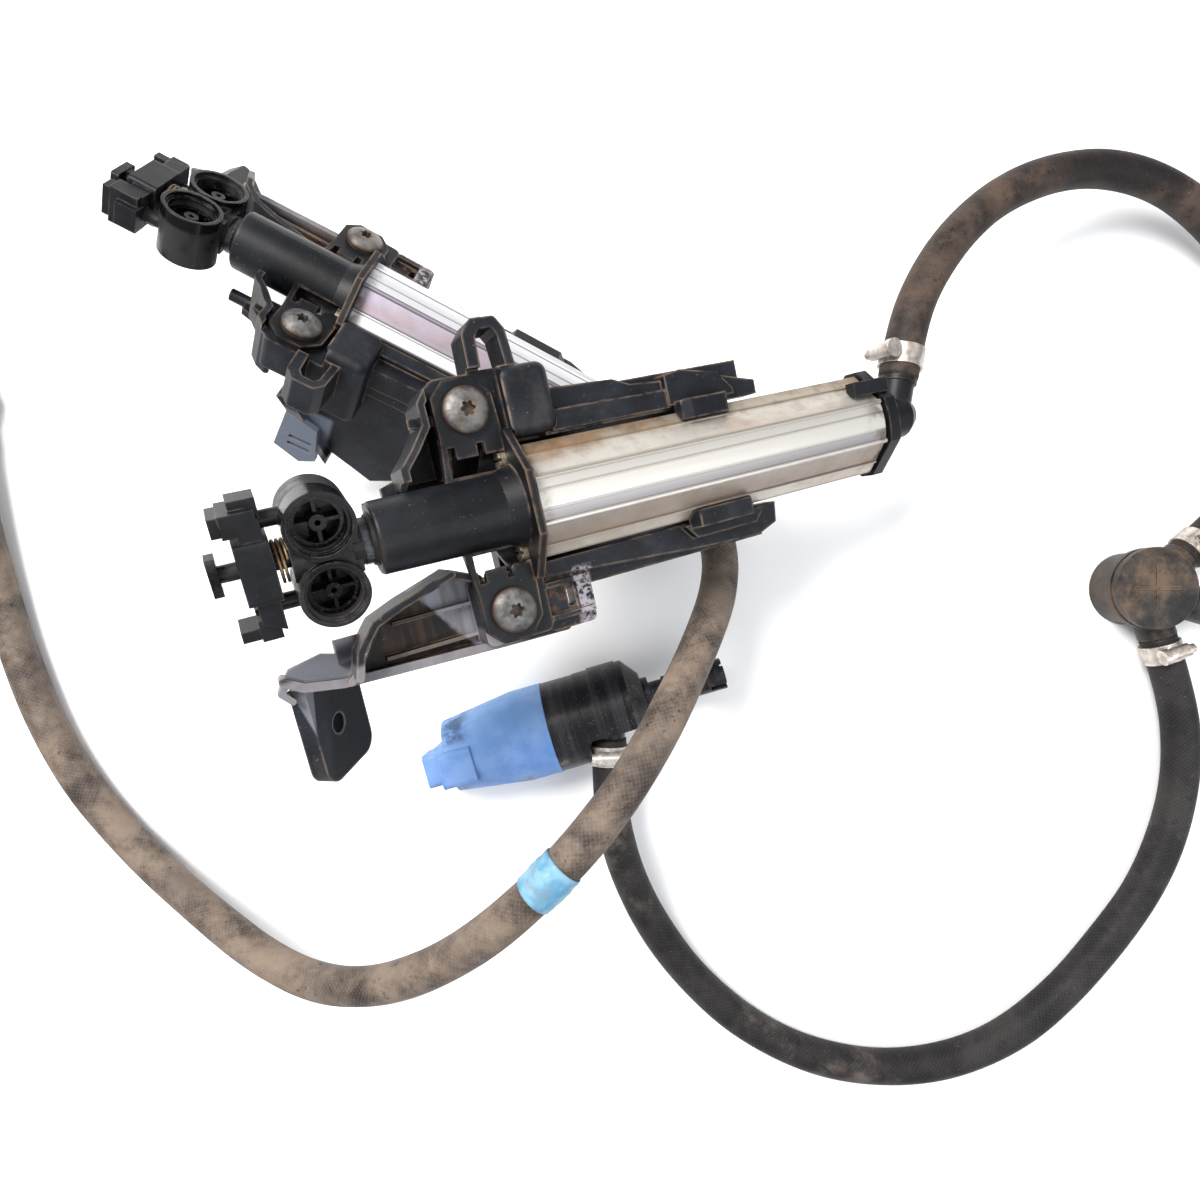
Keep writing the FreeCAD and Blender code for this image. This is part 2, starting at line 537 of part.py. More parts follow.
def bracket_side_panel():
    """The deep panel below the +Y side, with its flange plate and ridge."""
    panel = prism_y([(-29, 1), (-10, -27), (10, -50), (28, -56), (44, -45), (64, -22), (58, -8), (-12, -3)],
                    28, 31)
    tongue = prism_z([(-38, 3), (-38, 14), (-6, 24), (-6, 3)], -20, -17)
    stub = cylinder(V(-44.5, 8.5, -18.5), X_AXIS, 2.4, 12)
    ridge = prism_y([(-10, -27), (10, -50), (10, -54), (-14, -30)], 28, 35)
    foot = prism_y([(-9, -34), (4, -38), (6, -54), (0, -58), (-11, -54)], 33, 36)
    for slot_z in (-46, -50):
        foot = foot.cut(block(-6, 3, 30, 40, slot_z - 0.8, slot_z + 0.8))
    gusset = prism_x([(31, -8), (31, -30), (38, -16), (38, -8)], 8, 11)
    lower_tie = prism_x([(20, -10), (31, -10), (31, -24), (12, -19), (12, -16)], 16, 19)
    far_tie = lower_tie.copy()
    far_tie.translate(V(34, 0, 0))
    return [panel, tongue, stub, ridge, foot, gusset, lower_tie, far_tie]


def bracket_lower_side():
    """Ear seat, latch frame, rail, wing and recess on the -Y side."""
    seat = rounded(block(-21, 1, -40.5, -20, -13, EAR_TOP_Z - 0.02), 2.5, Z_AXIS)
    neck = block(-6, 6, -24, -19.8, -13, -3)
    rail_low = block(0, RAIL_END_X - 6, -29.5, -19.6, -12, -2)
    rail_top = prism_z([(2, -19.0), (2, -23.5), (60, -28), (82, -29), (RAIL_END_X - 1, -26),
                        (RAIL_END_X, -19), (RAIL_END_X - 8, -18.6)], -6, 0.5)
    catch = prism_z([(52, -19.2), (56, -24), (80, -24), (84, -19.2)], 0, 4)
    catch_lip = prism_y([(54, 3.6), (56, 8.4), (76, 8.4), (80, 3.6)], -20.5, -14.6)
    catch_lip = catch_lip.cut(body_face(0, 0.5).extrude(V(BODY_LENGTH, 0, 0)))
    frame = block(0, 16.5, -41.5, -22.5, -8, -1.5)
    frame = rounded(frame, 2.0, Z_AXIS)
    frame = frame.cut(block(8, 10.5, -35, -28.5, -10, 2))
    tongue_pad = block(11, 16.0, -36, -27.5, -2, 0.8)
    side_rails = [block(0.5, 16, -27.4, -25.6, -2, 0.6), block(0.5, 16, -38.0, -36.2, -2, 0.6)]
    shelf = prism_z([(-60, -41), (-19, -43), (-19, -18), (-28, -16), (-46, -21)], -16, -13.5)
    ledge_line = [(-80, -34.5), (-75, -37.5), (-64, -39.5), (-40, -40.5), (-14, -41.5), (8, -42)]
    ledge = wall_along(ledge_line, 2.8, -17, -8)
    ledge_outer = [(-80, -34.5), (-75, -37.5), (-64, -39.5), (-58, -40)]
    ledge_inner = [(-58, -33), (-68, -30), (-78, -32)]
    ledge_floor = prism_z(ledge_outer + ledge_inner, -17, -14)
    slant = wall_along([(-27, -15.5), (-43, -20.5), (-52, -24), (-58, -31), (-60, -38)], 2.4, -16, 1.0)
    front_wall = wall_along([(-60, -38), (-62, -39.5)], 2.4, -16, -6)
    rib_1 = block(-46, -19, -27.2, -26.0, -14, -10.5)
    rib_2 = block(-50, -19, -37.2, -36.0, -14, -10.5)
    link = wall_along([(-27, -15.5), (-19, -19)], 2.6, -16, -1)
    boss = cylinder(V(-64, -30.5, -12.5), X_AXIS, 3.8, 8)
    boss_web = block(-62, -56, -32.5, -29, -16, -12)
    hook = wall_along([(-79, -35), (-81.5, -38), (-79, -41)], 2.0, -17, -11)
    return [seat, neck, rail_low, rail_top, catch, catch_lip, frame, tongue_pad, shelf, ledge, ledge_floor,
            slant, front_wall, rib_1, rib_2, link, boss, boss_web, hook] + side_rails


def make_foot():
    """The hanging fixing plate with its bolt hole, tilted about Y."""
    plate = block(-FOOT_WIDTH / 2, FOOT_WIDTH / 2, -FOOT_LENGTH, 2, -FOOT_THICKNESS, 0)
    lower = [e for e in plate.Edges if e.BoundBox.YMax < -FOOT_LENGTH + 0.1 and e.BoundBox.ZLength > 1]
    plate = plate.makeFillet(6.0, lower)
    plate = plate.cut(cylinder(V(-2.0, -15.0, -20), Z_AXIS, FOOT_HOLE_RADIUS, 40))
    plate.rotate(V(0, 0, 0), Y_AXIS, FOOT_TILT)
    plate.rotate(V(0, 0, 0), X_AXIS, 12)
    plate.translate(V(-66.5, -39.0, -23))
    return plate


def make_bracket():
    tie_plate = block(-6, 2, -24, 24, -22, -17)
    tie_cut = cylinder(V(-30, 0, 0), X_AXIS, 14.5, 60)
    strap = block(-8, 4, -24, 24, -20, -13).cut(cylinder(V(-30, 0, 0), X_AXIS, 19.3, 60))
    cheeks = [block(-8, 4, 19.5, 26, -18, -6), block(-8, 4, -26, -19.5, -18, -6)]
    pieces = bracket_upper_side() + bracket_side_panel() + bracket_lower_side()
    pieces += [bracket_saddle(), tie_plate.cut(tie_cut), strap, make_foot()] + cheeks
    shape = fuse(pieces)
    clearance = [body_face(-0.2, 0.35).extrude(V(BODY_LENGTH, 0, 0))]
    roof = [(-23.2, -6.2), (-23.2, 5.2), (-9.5, 17.2), (9.5, 17.2), (23.2, 5.2), (23.2, -6.2), (9.5, -17.2),
            (-9.5, -17.2)]
    clearance.append(prism_x(roof, -FLANGE_THICKNESS - 0.2, 0.2))
    clearance.append(cylinder(V(-60, 0, 0), X_AXIS, SLEEVE_REAR_RADIUS + 2.2, 60))
    clearance.append(block(-22, 1, -42, 42, 0, 6))
    for side in (-1, 1):
        strut_outline = [(-14.3, side * 5), (-1.8, side * 5), (-1.8, side * 22.2), (-5, side * 24.3)]
        strut = prism_z(strut_outline, -6.2, 3)
        clearance.append(strut)
        clearance.append(cylinder(V(EAR_X, side * EAR_Y, -12.6), Z_AXIS, 2.45, 16))
        clearance.append(cylinder(V(-20, side * SCREW_CHANNEL_Y, 0), X_AXIS, 3.6, 20))
    for cutter in clearance:
        shape = shape.cut(cutter)
    return shape


# ---------------------------------------------------------------- placing
def unit_placement(origin, yaw, pitch, roll):
    turn = FreeCAD.Rotation(Z_AXIS, yaw) * FreeCAD.Rotation(Y_AXIS, pitch) * FreeCAD.Rotation(X_AXIS, roll)
    return FreeCAD.Placement(origin + KIT_SHIFT, turn)


PLACE_A = unit_placement(UNIT_A_ORIGIN, UNIT_A_YAW, UNIT_A_PITCH, UNIT_A_ROLL)
PLACE_B = unit_placement(UNIT_B_ORIGIN, UNIT_B_YAW, UNIT_B_PITCH, UNIT_B_ROLL)
PLACE_PUMP = FreeCAD.Placement(PUMP_ORIGIN + KIT_SHIFT, FreeCAD.Rotation(Z_AXIS, PUMP_ANGLE))
PLACE_VALVE = FreeCAD.Placement(VALVE_ORIGIN + KIT_SHIFT, FreeCAD.Rotation())


def put(name, shape, placement):
    shape = shape.copy()
    shape.transformShape(placement.toMatrix(), True, False)
    NODES[name] = shape


UNIT_PARTS = {
    "bracket": make_bracket,
    "cylinder_body": make_cylinder_body,
    "guide_sleeve": make_guide_sleeve,
    "rod_wiper_seal": make_rod_wiper_seal,
    "piston_rod": make_piston_rod,
    "piston": make_piston,
    "piston_seal": make_piston_seal,
    "return_spring": make_return_spring,
    "nozzle_head": make_nozzle_head,
    "jet_inserts": make_jet_inserts,
    "cover_carrier": make_cover_carrier,
    "carrier_spring": make_carrier_spring,
    "cap_gasket": make_cap_gasket,
    "rear_cap": make_rear_cap,
    "hose_clamp": make_hose_clamp,
    "ear_screws": make_ear_screws,
    "flange_screws": make_flange_screws,
    "cap_screws": make_cap_screws,
}


HEAD_PARTS = ("nozzle_head", "jet_inserts", "cover_carrier")
SPRINGS = ("return_spring", "carrier_spring")


def head_turned(shape, degrees):
    """Turn a part of the nozzle head about the rod, which is free to turn in its sleeve."""
    shape = shape.copy()
    shape.rotate(V(0, 0, 0), X_AXIS, degrees)
    return shape


def make_units():
    for part_name, maker in UNIT_PARTS.items():
        shape = maker()
        on_head = part_name in HEAD_PARTS
        shape_a = head_turned(shape, HEAD_ROLL_A) if on_head else shape
        shape_b = head_turned(shape, HEAD_ROLL_B) if on_head else shape
        put(part_name + "_a", shape_a, PLACE_A)
        if part_name not in SPRINGS:
            shape_b = shape_b.mirror(V(0, 0, 0), Y_AXIS)
        put(part_name + "_b", shape_b, PLACE_B)


# ---------------------------------------------------------------- pump
def make_pump_cap():
    """The blue end: a round skirt that tapers to an offset connector."""
    outer = PUMP_RADIUS + 0.3
    skirt = cylinder(V(-14, 0, 0), X_AXIS, outer, 14)
    taper = cone(V(-44, 0, 0), X_AXIS, 15.2, outer, 30.1)
    saddle = rounded(block(-46, -33, -10.5, 4.0, -2, 18.0), 2.0, X_AXIS)
    neck = rounded(block(-49, -40, -12, 6, -11, 11), 2.5, X_AXIS)
    nose = rounded(block(-55, -46, -10, 4, -9, 9), 2.0, X_AXIS)
    shape = fuse([skirt, taper, saddle, neck, nose])
    shape = shape.cut(cylinder(V(-15.6, 0, 0), X_AXIS, PUMP_RADIUS - 2.3, 16))
    shape = shape.cut(cylinder(V(-21.5, 0, 0), X_AXIS, 11.1, 8))
    shape = shape.cut(block(-56, -45, -8.0, 2.0, -7, 7))
    for pin_y in SOCKET_PINS_Y:
        shape = shape.cut(block(-46, -20, pin_y - 0.45, pin_y + 0.45, -2.2, 0.2))
    return shape


def make_pump_terminals():
    blades = [block(-52, -21.2, y - 0.4, y + 0.4, -2.1, 0.1) for y in SOCKET_PINS_Y]
    return Part.makeCompound(blades)


def outlet_direction():
    angle = math.radians(PUMP_OUTLET_ANGLE)
    return V(math.cos(angle), math.sin(angle), 0)


def make_motor_housing():
    can = cylinder(V(0.05, 0, 0), X_AXIS, PUMP_RADIUS, 13.9)
    sleeve = cylinder(V(-15.4, 0, 0), X_AXIS, PUMP_RADIUS - 2.4, 16)
    nose = cylinder(V(-21, 0, 0), X_AXIS, 11.0, 7)
    shape = fuse([can, sleeve, nose])
    shape = shape.cut(cylinder(V(-14, 0, 0), X_AXIS, PUMP_RADIUS - 4.0, 18))
    shape = shape.cut(cylinder(V(-30, 0, 0), X_AXIS, SHAFT_RADIUS + RUNNING_GAP, 50))
    shape = shape.cut(cylinder(V(10.5, 0, 0), X_AXIS, 5.0, 4))
    relief_start = V(*PUMP_OUTLET_START) + outlet_direction() * 2
    return shape.cut(cylinder(relief_start, outlet_direction(), HOSE_RADIUS + 1.9, 40))


def make_pump_magnets():
    ring = tube(V(-12.5, 0, 0), X_AXIS, PUMP_RADIUS - 4.05, PUMP_RADIUS - 6.6, 15)
    gap = block(-14, 5, -20, 20, -2.5, 2.5)
    return ring.cut(gap)


def make_armature():
    stack = cylinder(V(-11.5, 0, 0), X_AXIS, PUMP_RADIUS - 7.4, 13)
    for i in range(5):
        slot = block(-12, 2, -1.2, 1.2, 8.0, 14)
        slot.rotate(V(0, 0, 0), X_AXIS, 72 * i)
        stack = stack.cut(slot)
    shaft = cylinder(V(-19, 0, 0), X_AXIS, SHAFT_RADIUS, 46)
    return fuse([stack, shaft])


def make_shaft_seal():
    return tube(V(10.6, 0, 0), X_AXIS, 4.95, SHAFT_RADIUS + 0.06, 3.3)


def make_impeller():
    disc = cylinder(V(19, 0, 0), X_AXIS, IMPELLER_RADIUS, 1.5)
    hub = cylinder(V(19, 0, 0), X_AXIS, 3.2, 7)
    vanes = []
    for i in range(6):
        vane = block(20.3, 25, 2.4, IMPELLER_RADIUS - 0.3, -0.5, 0.5)
        vane.rotate(V(0, 0, 0), X_AXIS, 60 * i)
        vanes.append(vane)
    return fuse([disc, hub] + vanes).cut(cylinder(V(18, 0, 0), X_AXIS, SHAFT_RADIUS, 20))


def make_pump_head():
    """Pump casing with its inlet spigot and side outlet."""
    casing = cylinder(V(14, 0, 0), X_AXIS, PUMP_RADIUS + 0.3, 21)
    shoulder = cone(V(35, 0, 0), X_AXIS, PUMP_RADIUS + 0.3, 12.0, 6)
    band = tube(V(20.5, 0, 0), X_AXIS, PUMP_RADIUS + 0.9, PUMP_RADIUS - 2, 12)
    direction = outlet_direction()
    start = V(*PUMP_OUTLET_START)
    boss = cylinder(start, direction, 6.6, PUMP_OUTLET_REACH)
    barb = cylinder(start, direction, HOSE_BORE_RADIUS, PUMP_OUTLET_REACH + BARB_LENGTH)
    collar = cylinder(V(38, INLET_Y, 0), X_AXIS, 7.5, 6)
    spigot = cylinder(V(36, INLET_Y, 0), X_AXIS, INLET_RADIUS, 32)
    rim = cylinder(V(50, INLET_Y, 0), X_AXIS, INLET_RADIUS + 0.9, 3)
    round_part = fuse([casing, shoulder, band]).cut(block(13, 45, -30, -8.0, -25, 25))
    shape = fuse([round_part, boss, barb, collar, spigot, rim])
    shape = shape.cut(cylinder(V(17.5, 0, 0), X_AXIS, IMPELLER_RADIUS + 0.8, 10))
    shape = shape.cut(cylinder(V(13, 0, 0), X_AXIS, SHAFT_RADIUS + 0.1, 6))
    shape = shape.cut(cylinder(V(26, INLET_Y, 0), X_AXIS, 3.2, 60))
    shape = shape.cut(cylinder(start + direction * 4, direction, 3.4, 60))
    return shape.cut(cylinder(start - V(0, 0, 4), Z_AXIS, 2.4, 5))


def make_inlet_strainer():
    """The slotted tip pressed on the inlet spigot."""
    cup = tube(V(62, INLET_Y, 0), X_AXIS, 6.6, INLET_RADIUS + 0.05, 6)
    cage = tube(V(68, INLET_Y, 0), X_AXIS, 6.6, 4.6, 8)
    for i in range(4):
        slot = block(69, 77, -1.2, 1.2, 3, 8)
        slot.rotate(V(0, 0, 0), X_AXIS, 90 * i + 45)
        slot.translate(V(0, INLET_Y, 0))
        cage = cage.cut(slot)
    floor = tube(V(68, INLET_Y, 0), X_AXIS, 5.2, 2.4, 1.2)
    return fuse([cup, cage, floor])


def make_pump_clamp():
    start = V(*PUMP_OUTLET_START) + outlet_direction() * (PUMP_OUTLET_REACH + 11)
    return clamp_at(start, outlet_direction() * -1, Z_AXIS, HOSE_RADIUS, 8.0)


def make_pump():
    put("pump_connector_cap", make_pump_cap(), PLACE_PUMP)
    put("pump_terminals", make_pump_terminals(), PLACE_PUMP)
    put("pump_motor_housing", make_motor_housing(), PLACE_PUMP)
    put("pump_magnets", make_pump_magnets(), PLACE_PUMP)
    put("pump_armature", make_armature(), PLACE_PUMP)
    put("pump_shaft_seal", make_shaft_seal(), PLACE_PUMP)
    put("pump_impeller", make_impeller(), PLACE_PUMP)
    put("pump_head", make_pump_head(), PLACE_PUMP)
    put("inlet_strainer", make_inlet_strainer(), PLACE_PUMP)
    put("pump_hose_clamp", make_pump_clamp(), PLACE_PUMP)


# ---------------------------------------------------------------- tee valve and quick connector
def port_direction(degrees):
    angle = math.radians(degrees)
    return V(math.cos(angle), math.sin(angle), 0)


def port_collar(degrees):
    """Centre of the face that a hose butts against, in the valve's frame."""
    return V(0, 0, PORT_HEIGHT) + port_direction(degrees) * VALVE_REACH


def make_valve_body():
    """Round housing with two hose ports and one free port that takes a plug."""
    shape = cylinder(V(0, 0, 0), Z_AXIS, VALVE_RADIUS, VALVE_HEIGHT)
    rim = cylinder(V(0, 0, VALVE_HEIGHT - 5), Z_AXIS, VALVE_RADIUS + 1.5, 3)
    pieces = [shape, rim]
    centre = V(0, 0, PORT_HEIGHT)
    for degrees in (HOSE_A_PORT, HOSE_C_PORT):
        direction = port_direction(degrees)
        pieces.append(cylinder(centre, direction, 7.5, VALVE_REACH))
        pieces.append(cylinder(centre, direction, HOSE_BORE_RADIUS, VALVE_REACH + BARB_LENGTH))
    free = port_direction(FREE_PORT)
    pieces.append(cylinder(centre, free, FREE_PORT_RADIUS, FREE_PORT_LENGTH))
    shape = fuse(pieces)
    shape = shape.cut(cylinder(V(0, 0, 3), Z_AXIS, VALVE_RADIUS - 3, VALVE_HEIGHT))
    for degrees in (HOSE_A_PORT, HOSE_C_PORT):
        shape = shape.cut(cylinder(centre, port_direction(degrees), 3.6, 80))
    shape = shape.cut(cylinder(centre, free, 3.6, 60))
    return shape.cut(cylinder(centre + free * (FREE_PORT_LENGTH - 16), free, FREE_PORT_BORE, 30))


def make_valve_cover():
    """The lid, with a guide post for the valve disc."""
    z = VALVE_HEIGHT
    lid = cylinder(V(0, 0, z), Z_AXIS, VALVE_RADIUS + 1.5, 3)
    plug = tube(V(0, 0, z - 3), Z_AXIS, VALVE_RADIUS - 3.05, VALVE_RADIUS - 6, 3)
    post = cylinder(V(0, 0, z - 8), Z_AXIS, 2.0, 8)
    ribs = [block(-10, 10, -0.8, 0.8, z + 2, z + 3.6), block(-0.8, 0.8, -10, 10, z + 2, z + 3.6)]
    return fuse([lid, plug, post] + ribs)


def make_valve_disc():
    disc = cylinder(V(0, 0, 4.5), Z_AXIS, VALVE_RADIUS - 6.5, 1.6)
    stem = tube(V(0, 0, 4.5), Z_AXIS, 3.2, 2.06, 10.5)
    return fuse([disc, stem]).cut(cylinder(V(0, 0, 6.5), Z_AXIS, 2.06, 20))


def make_valve_spring():
    spring = coil(0, VALVE_HEIGHT - 6.5, 4.6, 0.5, 5)
    spring.rotate(V(0, 0, 0), Y_AXIS, -90)
    spring.translate(V(0, 0, 6.3))
    return spring


def make_valve_clamp(degrees, radius):
    direction = port_direction(degrees)
    start = port_collar(degrees) + direction * 3
    return clamp_at(start, direction, Z_AXIS, radius, 8.0)


def make_connector_body(tip, direction):
    """Quick connector on the free end of the long hose: barb, collar and plug."""
    barb = cylinder(tip - direction * BARB_LENGTH, direction, HOSE_BORE_RADIUS, BARB_LENGTH + 2)
    collar = cylinder(tip, direction, 9.2, 4)
    shaft = cylinder(tip, direction, 7.8, 16)
    flange = cylinder(tip + direction * 13, direction, 9.6, 3)
    plug = cylinder(tip + direction * 16, direction, PLUG_RADIUS, 14)
    shape = fuse([barb, collar, shaft, flange, plug])
    shape = shape.cut(tube(tip + direction * 24, direction, 8, 4.6, 2.6))
    return shape.cut(cylinder(tip - direction * 40, direction, 3.4, 90))


def make_connector_latch(tip, direction):
    """The slotted release ring that slides on the connector's shaft."""
    ring = tube(tip + direction * 5.0, direction, 10.2, 7.88, 6)
    grip = tube(tip + direction * 6.0, direction, 11.0, 9.5, 1.4)
    second_grip = tube(tip + direction * 8.6, direction, 11.0, 9.5, 1.4)
    return fuse([ring, grip, second_grip])


def make_connector_seal(tip, direction):
    return tube(tip + direction * 24.2, direction, PLUG_RADIUS + 0.2, 4.65, 2.2)


def make_fittings():
    put("valve_body", make_valve_body(), PLACE_VALVE)
    put("valve_cover", make_valve_cover(), PLACE_VALVE)
    put("valve_disc", make_valve_disc(), PLACE_VALVE)
    put("valve_spring", make_valve_spring(), PLACE_VALVE)
    put("valve_clamp_hose_a", make_valve_clamp(HOSE_A_PORT, HOSE_RADIUS), PLACE_VALVE)
    put("valve_clamp_hose_c", make_valve_clamp(HOSE_C_PORT, HOSE_RADIUS), PLACE_VALVE)
    tip, direction = HOSE_B_POINTS[-1] + KIT_SHIFT, (HOSE_B_POINTS[-1] - HOSE_B_POINTS[-2]).normalize()
    NODES["connector_body"] = make_connector_body(tip, direction)
    NODES["connector_latch"] = make_connector_latch(tip, direction)
    NODES["connector_seal"] = make_connector_seal(tip, direction)
    NODES["connector_clamp"] = clamp_at(tip - direction * 12, direction, Z_AXIS, HOSE_RADIUS, 8.0)


# ---------------------------------------------------------------- hoses
def tangent_path(points):
    """Straight runs joined by tangent arcs as large as the runs allow. Returns the wire and the radii."""
    edges = []
    radii = []
    last = points[0]
    for before, corner, after in zip(points, points[1:], points[2:]):
        run_in = corner - before
        run_out = after - corner
        shorter = min(run_in.Length, run_out.Length)
        turn = run_in.getAngle(run_out)
        trim = 0.45 * shorter
        radii.append(trim / math.tan(turn / 2))
        direction_in = V(run_in).normalize()
        direction_out = V(run_out).normalize()
        arc_start = corner - direction_in * trim
        arc_end = corner + direction_out * trim
        bisector = (direction_out - direction_in).normalize()
        centre = corner + bisector * (radii[-1] / math.cos(turn / 2))
        middle = centre - bisector * radii[-1]
        edges.append(Part.LineSegment(last, arc_start).toShape())
        edges.append(Part.Arc(arc_start, middle, arc_end).toShape())
        last = arc_end
    edges.append(Part.LineSegment(last, points[-1]).toShape())
    return Part.Wire(edges), radii


def make_hose(name, points, outer_radius):
    path, radii = tangent_path([p + KIT_SHIFT for p in points])
    start = path.Edges[0].Vertexes[0].Point
    direction = (points[1] - points[0]).normalize()
    solids = []
    for radius in (outer_radius, HOSE_BORE_RADIUS):
        section = Part.Wire([Part.Circle(start, direction, radius).toShape()])
        solids.append(path.makePipeShell([section], True, True))
    hose = solids[0].cut(solids[1])
    area = math.pi * (outer_radius ** 2 - HOSE_BORE_RADIUS ** 2)
    print(name, "length", round(path.Length, 1), "volume ratio", round(hose.Volume / (area * path.Length), 4),
          "valid", hose.isValid(), "radii", [round(r) for r in radii])
    NODES[name] = hose
    return path


def make_marker_band(path, distance):
    """A short wrapped band round a hose, centred at distance along its path."""
    walked = 0.0
    for edge in path.OrderedEdges:
        if walked + edge.Length > distance:
            place = edge.getParameterByLength(distance - walked)
            centre = edge.valueAt(place)
            direction = edge.tangentAt(place)
            break
        walked += edge.Length
    start = centre - direction * (BAND_LENGTH / 2)
    NODES["marker_band"] = tube(start, direction, HOSE_RADIUS + 0.75, HOSE_RADIUS + 0.3, BAND_LENGTH)


def make_hoses():
    make_hose("hose_a", HOSE_A_POINTS, HOSE_RADIUS)
    long_path = make_hose("hose_b", HOSE_B_POINTS, HOSE_RADIUS)
    make_hose("hose_c", HOSE_C_POINTS, HOSE_RADIUS)
    make_marker_band(long_path, BAND_DISTANCE)


def main():
    os.makedirs("parts", exist_ok=True)
    make_units()
    make_pump()
    make_fittings()
    make_hoses()
    for node, solid in NODES.items():
        solid.exportStep("parts/" + node + ".step")
        box = solid.BoundBox
        heights = (round(box.ZMin, 1), round(box.ZMax, 1))
        print(node, solid.isValid(), len(solid.Solids), round(solid.Volume), *heights)


main()
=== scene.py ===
"""Headlamp washer kit: camera, hoses, materials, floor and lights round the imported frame."""
import math

import bpy
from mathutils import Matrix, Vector


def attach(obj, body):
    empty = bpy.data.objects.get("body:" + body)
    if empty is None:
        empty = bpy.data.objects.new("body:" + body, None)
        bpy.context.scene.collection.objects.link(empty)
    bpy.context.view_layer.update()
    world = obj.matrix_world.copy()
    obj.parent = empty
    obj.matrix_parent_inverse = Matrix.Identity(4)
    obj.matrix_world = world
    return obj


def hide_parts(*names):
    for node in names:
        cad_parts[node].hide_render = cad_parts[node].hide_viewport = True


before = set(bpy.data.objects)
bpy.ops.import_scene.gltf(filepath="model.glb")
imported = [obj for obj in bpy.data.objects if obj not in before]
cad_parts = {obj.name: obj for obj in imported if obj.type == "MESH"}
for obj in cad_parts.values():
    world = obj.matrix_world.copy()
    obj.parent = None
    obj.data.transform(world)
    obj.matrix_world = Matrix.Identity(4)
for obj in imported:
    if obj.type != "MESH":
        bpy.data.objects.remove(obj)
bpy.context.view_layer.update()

KIT_SHIFT = Vector((24.80, -52.74, 0.0))
UNIT_A = ((-23.8, 29.6, 115.0), (9.6, 21.8, 16.3))
UNIT_B = ((-90.1, 112.9, 57.05), (-40.3, 14.0, -24.9))
PUMP = ((-20.3, -53.9, 19.9), (0.0, 0.0, 16.0))
FLAT = ((0.0, 0.0, 0.0), (0.0, 0.0, 0.0))

CAMERA_HEIGHT = 365.0
CAMERA_LENS = 24.33
CAMERA_SENSOR = 36.0

# Hose sizes in metres
HOSE_RADIUS = 0.0073
HOSE_BORE = 0.0048
RING_SPACING = 0.0016
RING_SIDES = 36
RIM_ROUNDING = 0.0006
WALL_UNEVENNESS = 0.00006
BAND_LENGTH = 0.015
BAND_DISTANCE = 0.1685
BAND_CLEARANCE = 0.00012
BAND_THICKNESS = 0.00042
BAND_OVERLAP = 0.00022

# Threads of the hoses' knit: how many go round, and how many lie along a tenth of a metre
THREADS_ROUND = 22
THREADS_ALONG = 52

# Width in metres that the aluminium's lanes are spread over
CYLINDER_WIDTH = 0.037

# Floor and lights: places in millimetres, sizes in metres, power in watts
FLOOR_HALF = 3.0
FLOOR_HEIGHT = -0.0003
KEY_LIGHT = ("key", (-420, 380, 900), 0.45, 16.0, (1.0, 0.98, 0.95))
FILL_LIGHT = ("fill", (700, -300, 700), 0.9, 5.0, (0.94, 0.97, 1.0))
LIGHT_TARGET = (0, 0, 30)

# Hose routes in millimetres: the same points that the CAD hoses follow
HOSE_A_ROUTE = [
    (112.33, 83.49, 59.15), (115.61, 103.21, 58.96), (123.8, 122.4, 56.8), (137.5, 141.6, 52.2),
    (156.1, 158.7, 46.3), (180.5, 171.5, 39.4), (207.5, 177.9, 32.0), (235.8, 174.8, 25.0),
    (261.5, 162.5, 18.0), (281.7, 142.3, 12.5), (294.0, 116.7, 9.0), (297.2, 88.3, 8.0),
    (290.9, 60.5, 9.2), (275.13, 36.13, 11.0), (253.22, 18.70, 11.0),
]
HOSE_B_ROUTE = [
    (44.83, 38.75, 27.89), (48.71, 21.58, 37.38), (46.8, 3.5, 47.5), (39.2, -14.0, 58.0),
    (30.0, -31.0, 69.3), (20.0, -48.2, 79.3), (8.6, -65.0, 87.3), (-5.6, -82.5, 91.5),
    (-22.6, -100.5, 90.5), (-41.5, -118.5, 83.5), (-62.5, -134.5, 71.5), (-86.0, -147.0, 57.5),
    (-111.5, -152.5, 43.5), (-138.0, -147.6, 31.0), (-163.0, -136.0, 20.5), (-187.0, -121.5, 12.5),
    (-208.5, -104.0, 8.4), (-227.0, -83.0, 7.4), (-242.0, -58.5, 7.4), (-253.5, -31.0, 7.4),
    (-262.5, -2.5, 8.2), (-269.5, 26.5, 9.8), (-275.0, 55.0, 11.2), (-278.5, 81.0, 11.6),
]
HOSE_C_ROUTE = [
    (3.87, -57.93, 23.9), (3.87, -77.93, 23.9), (6.2, -98.0, 21.0), (12.4, -119.5, 16.5),
    (23.5, -142.5, 11.5), (39.5, -165.0, 8.3), (62.5, -186.0, 7.4), (90.5, -200.5, 7.4),
    (121.0, -206.5, 7.4), (151.5, -204.0, 7.4), (180.0, -192.5, 7.4), (203.5, -173.0, 7.4),
    (223.5, -149.8, 7.4), (240.4, -126.5, 7.4), (251.3, -99.9, 7.9), (255.5, -71.5, 9.4),
    (251.95, -41.33, 11.0), (243.16, -15.80, 11.0),
]


def metres(point):
    """A point of the lay-out, moved to the row frame and given in metres."""
    return (Vector(point) + KIT_SHIFT) / 1000


# ---------------------------------------------------------------- camera
def make_camera():
    data = bpy.data.cameras.new("camera")
    data.sensor_width = CAMERA_SENSOR
    data.lens = CAMERA_LENS
    data.clip_start = 0.01
    camera = bpy.data.objects.new("camera", data)
    camera.location = metres((0.0, 0.0, CAMERA_HEIGHT))
    bpy.context.scene.collection.objects.link(camera)
    bpy.context.scene.camera = camera


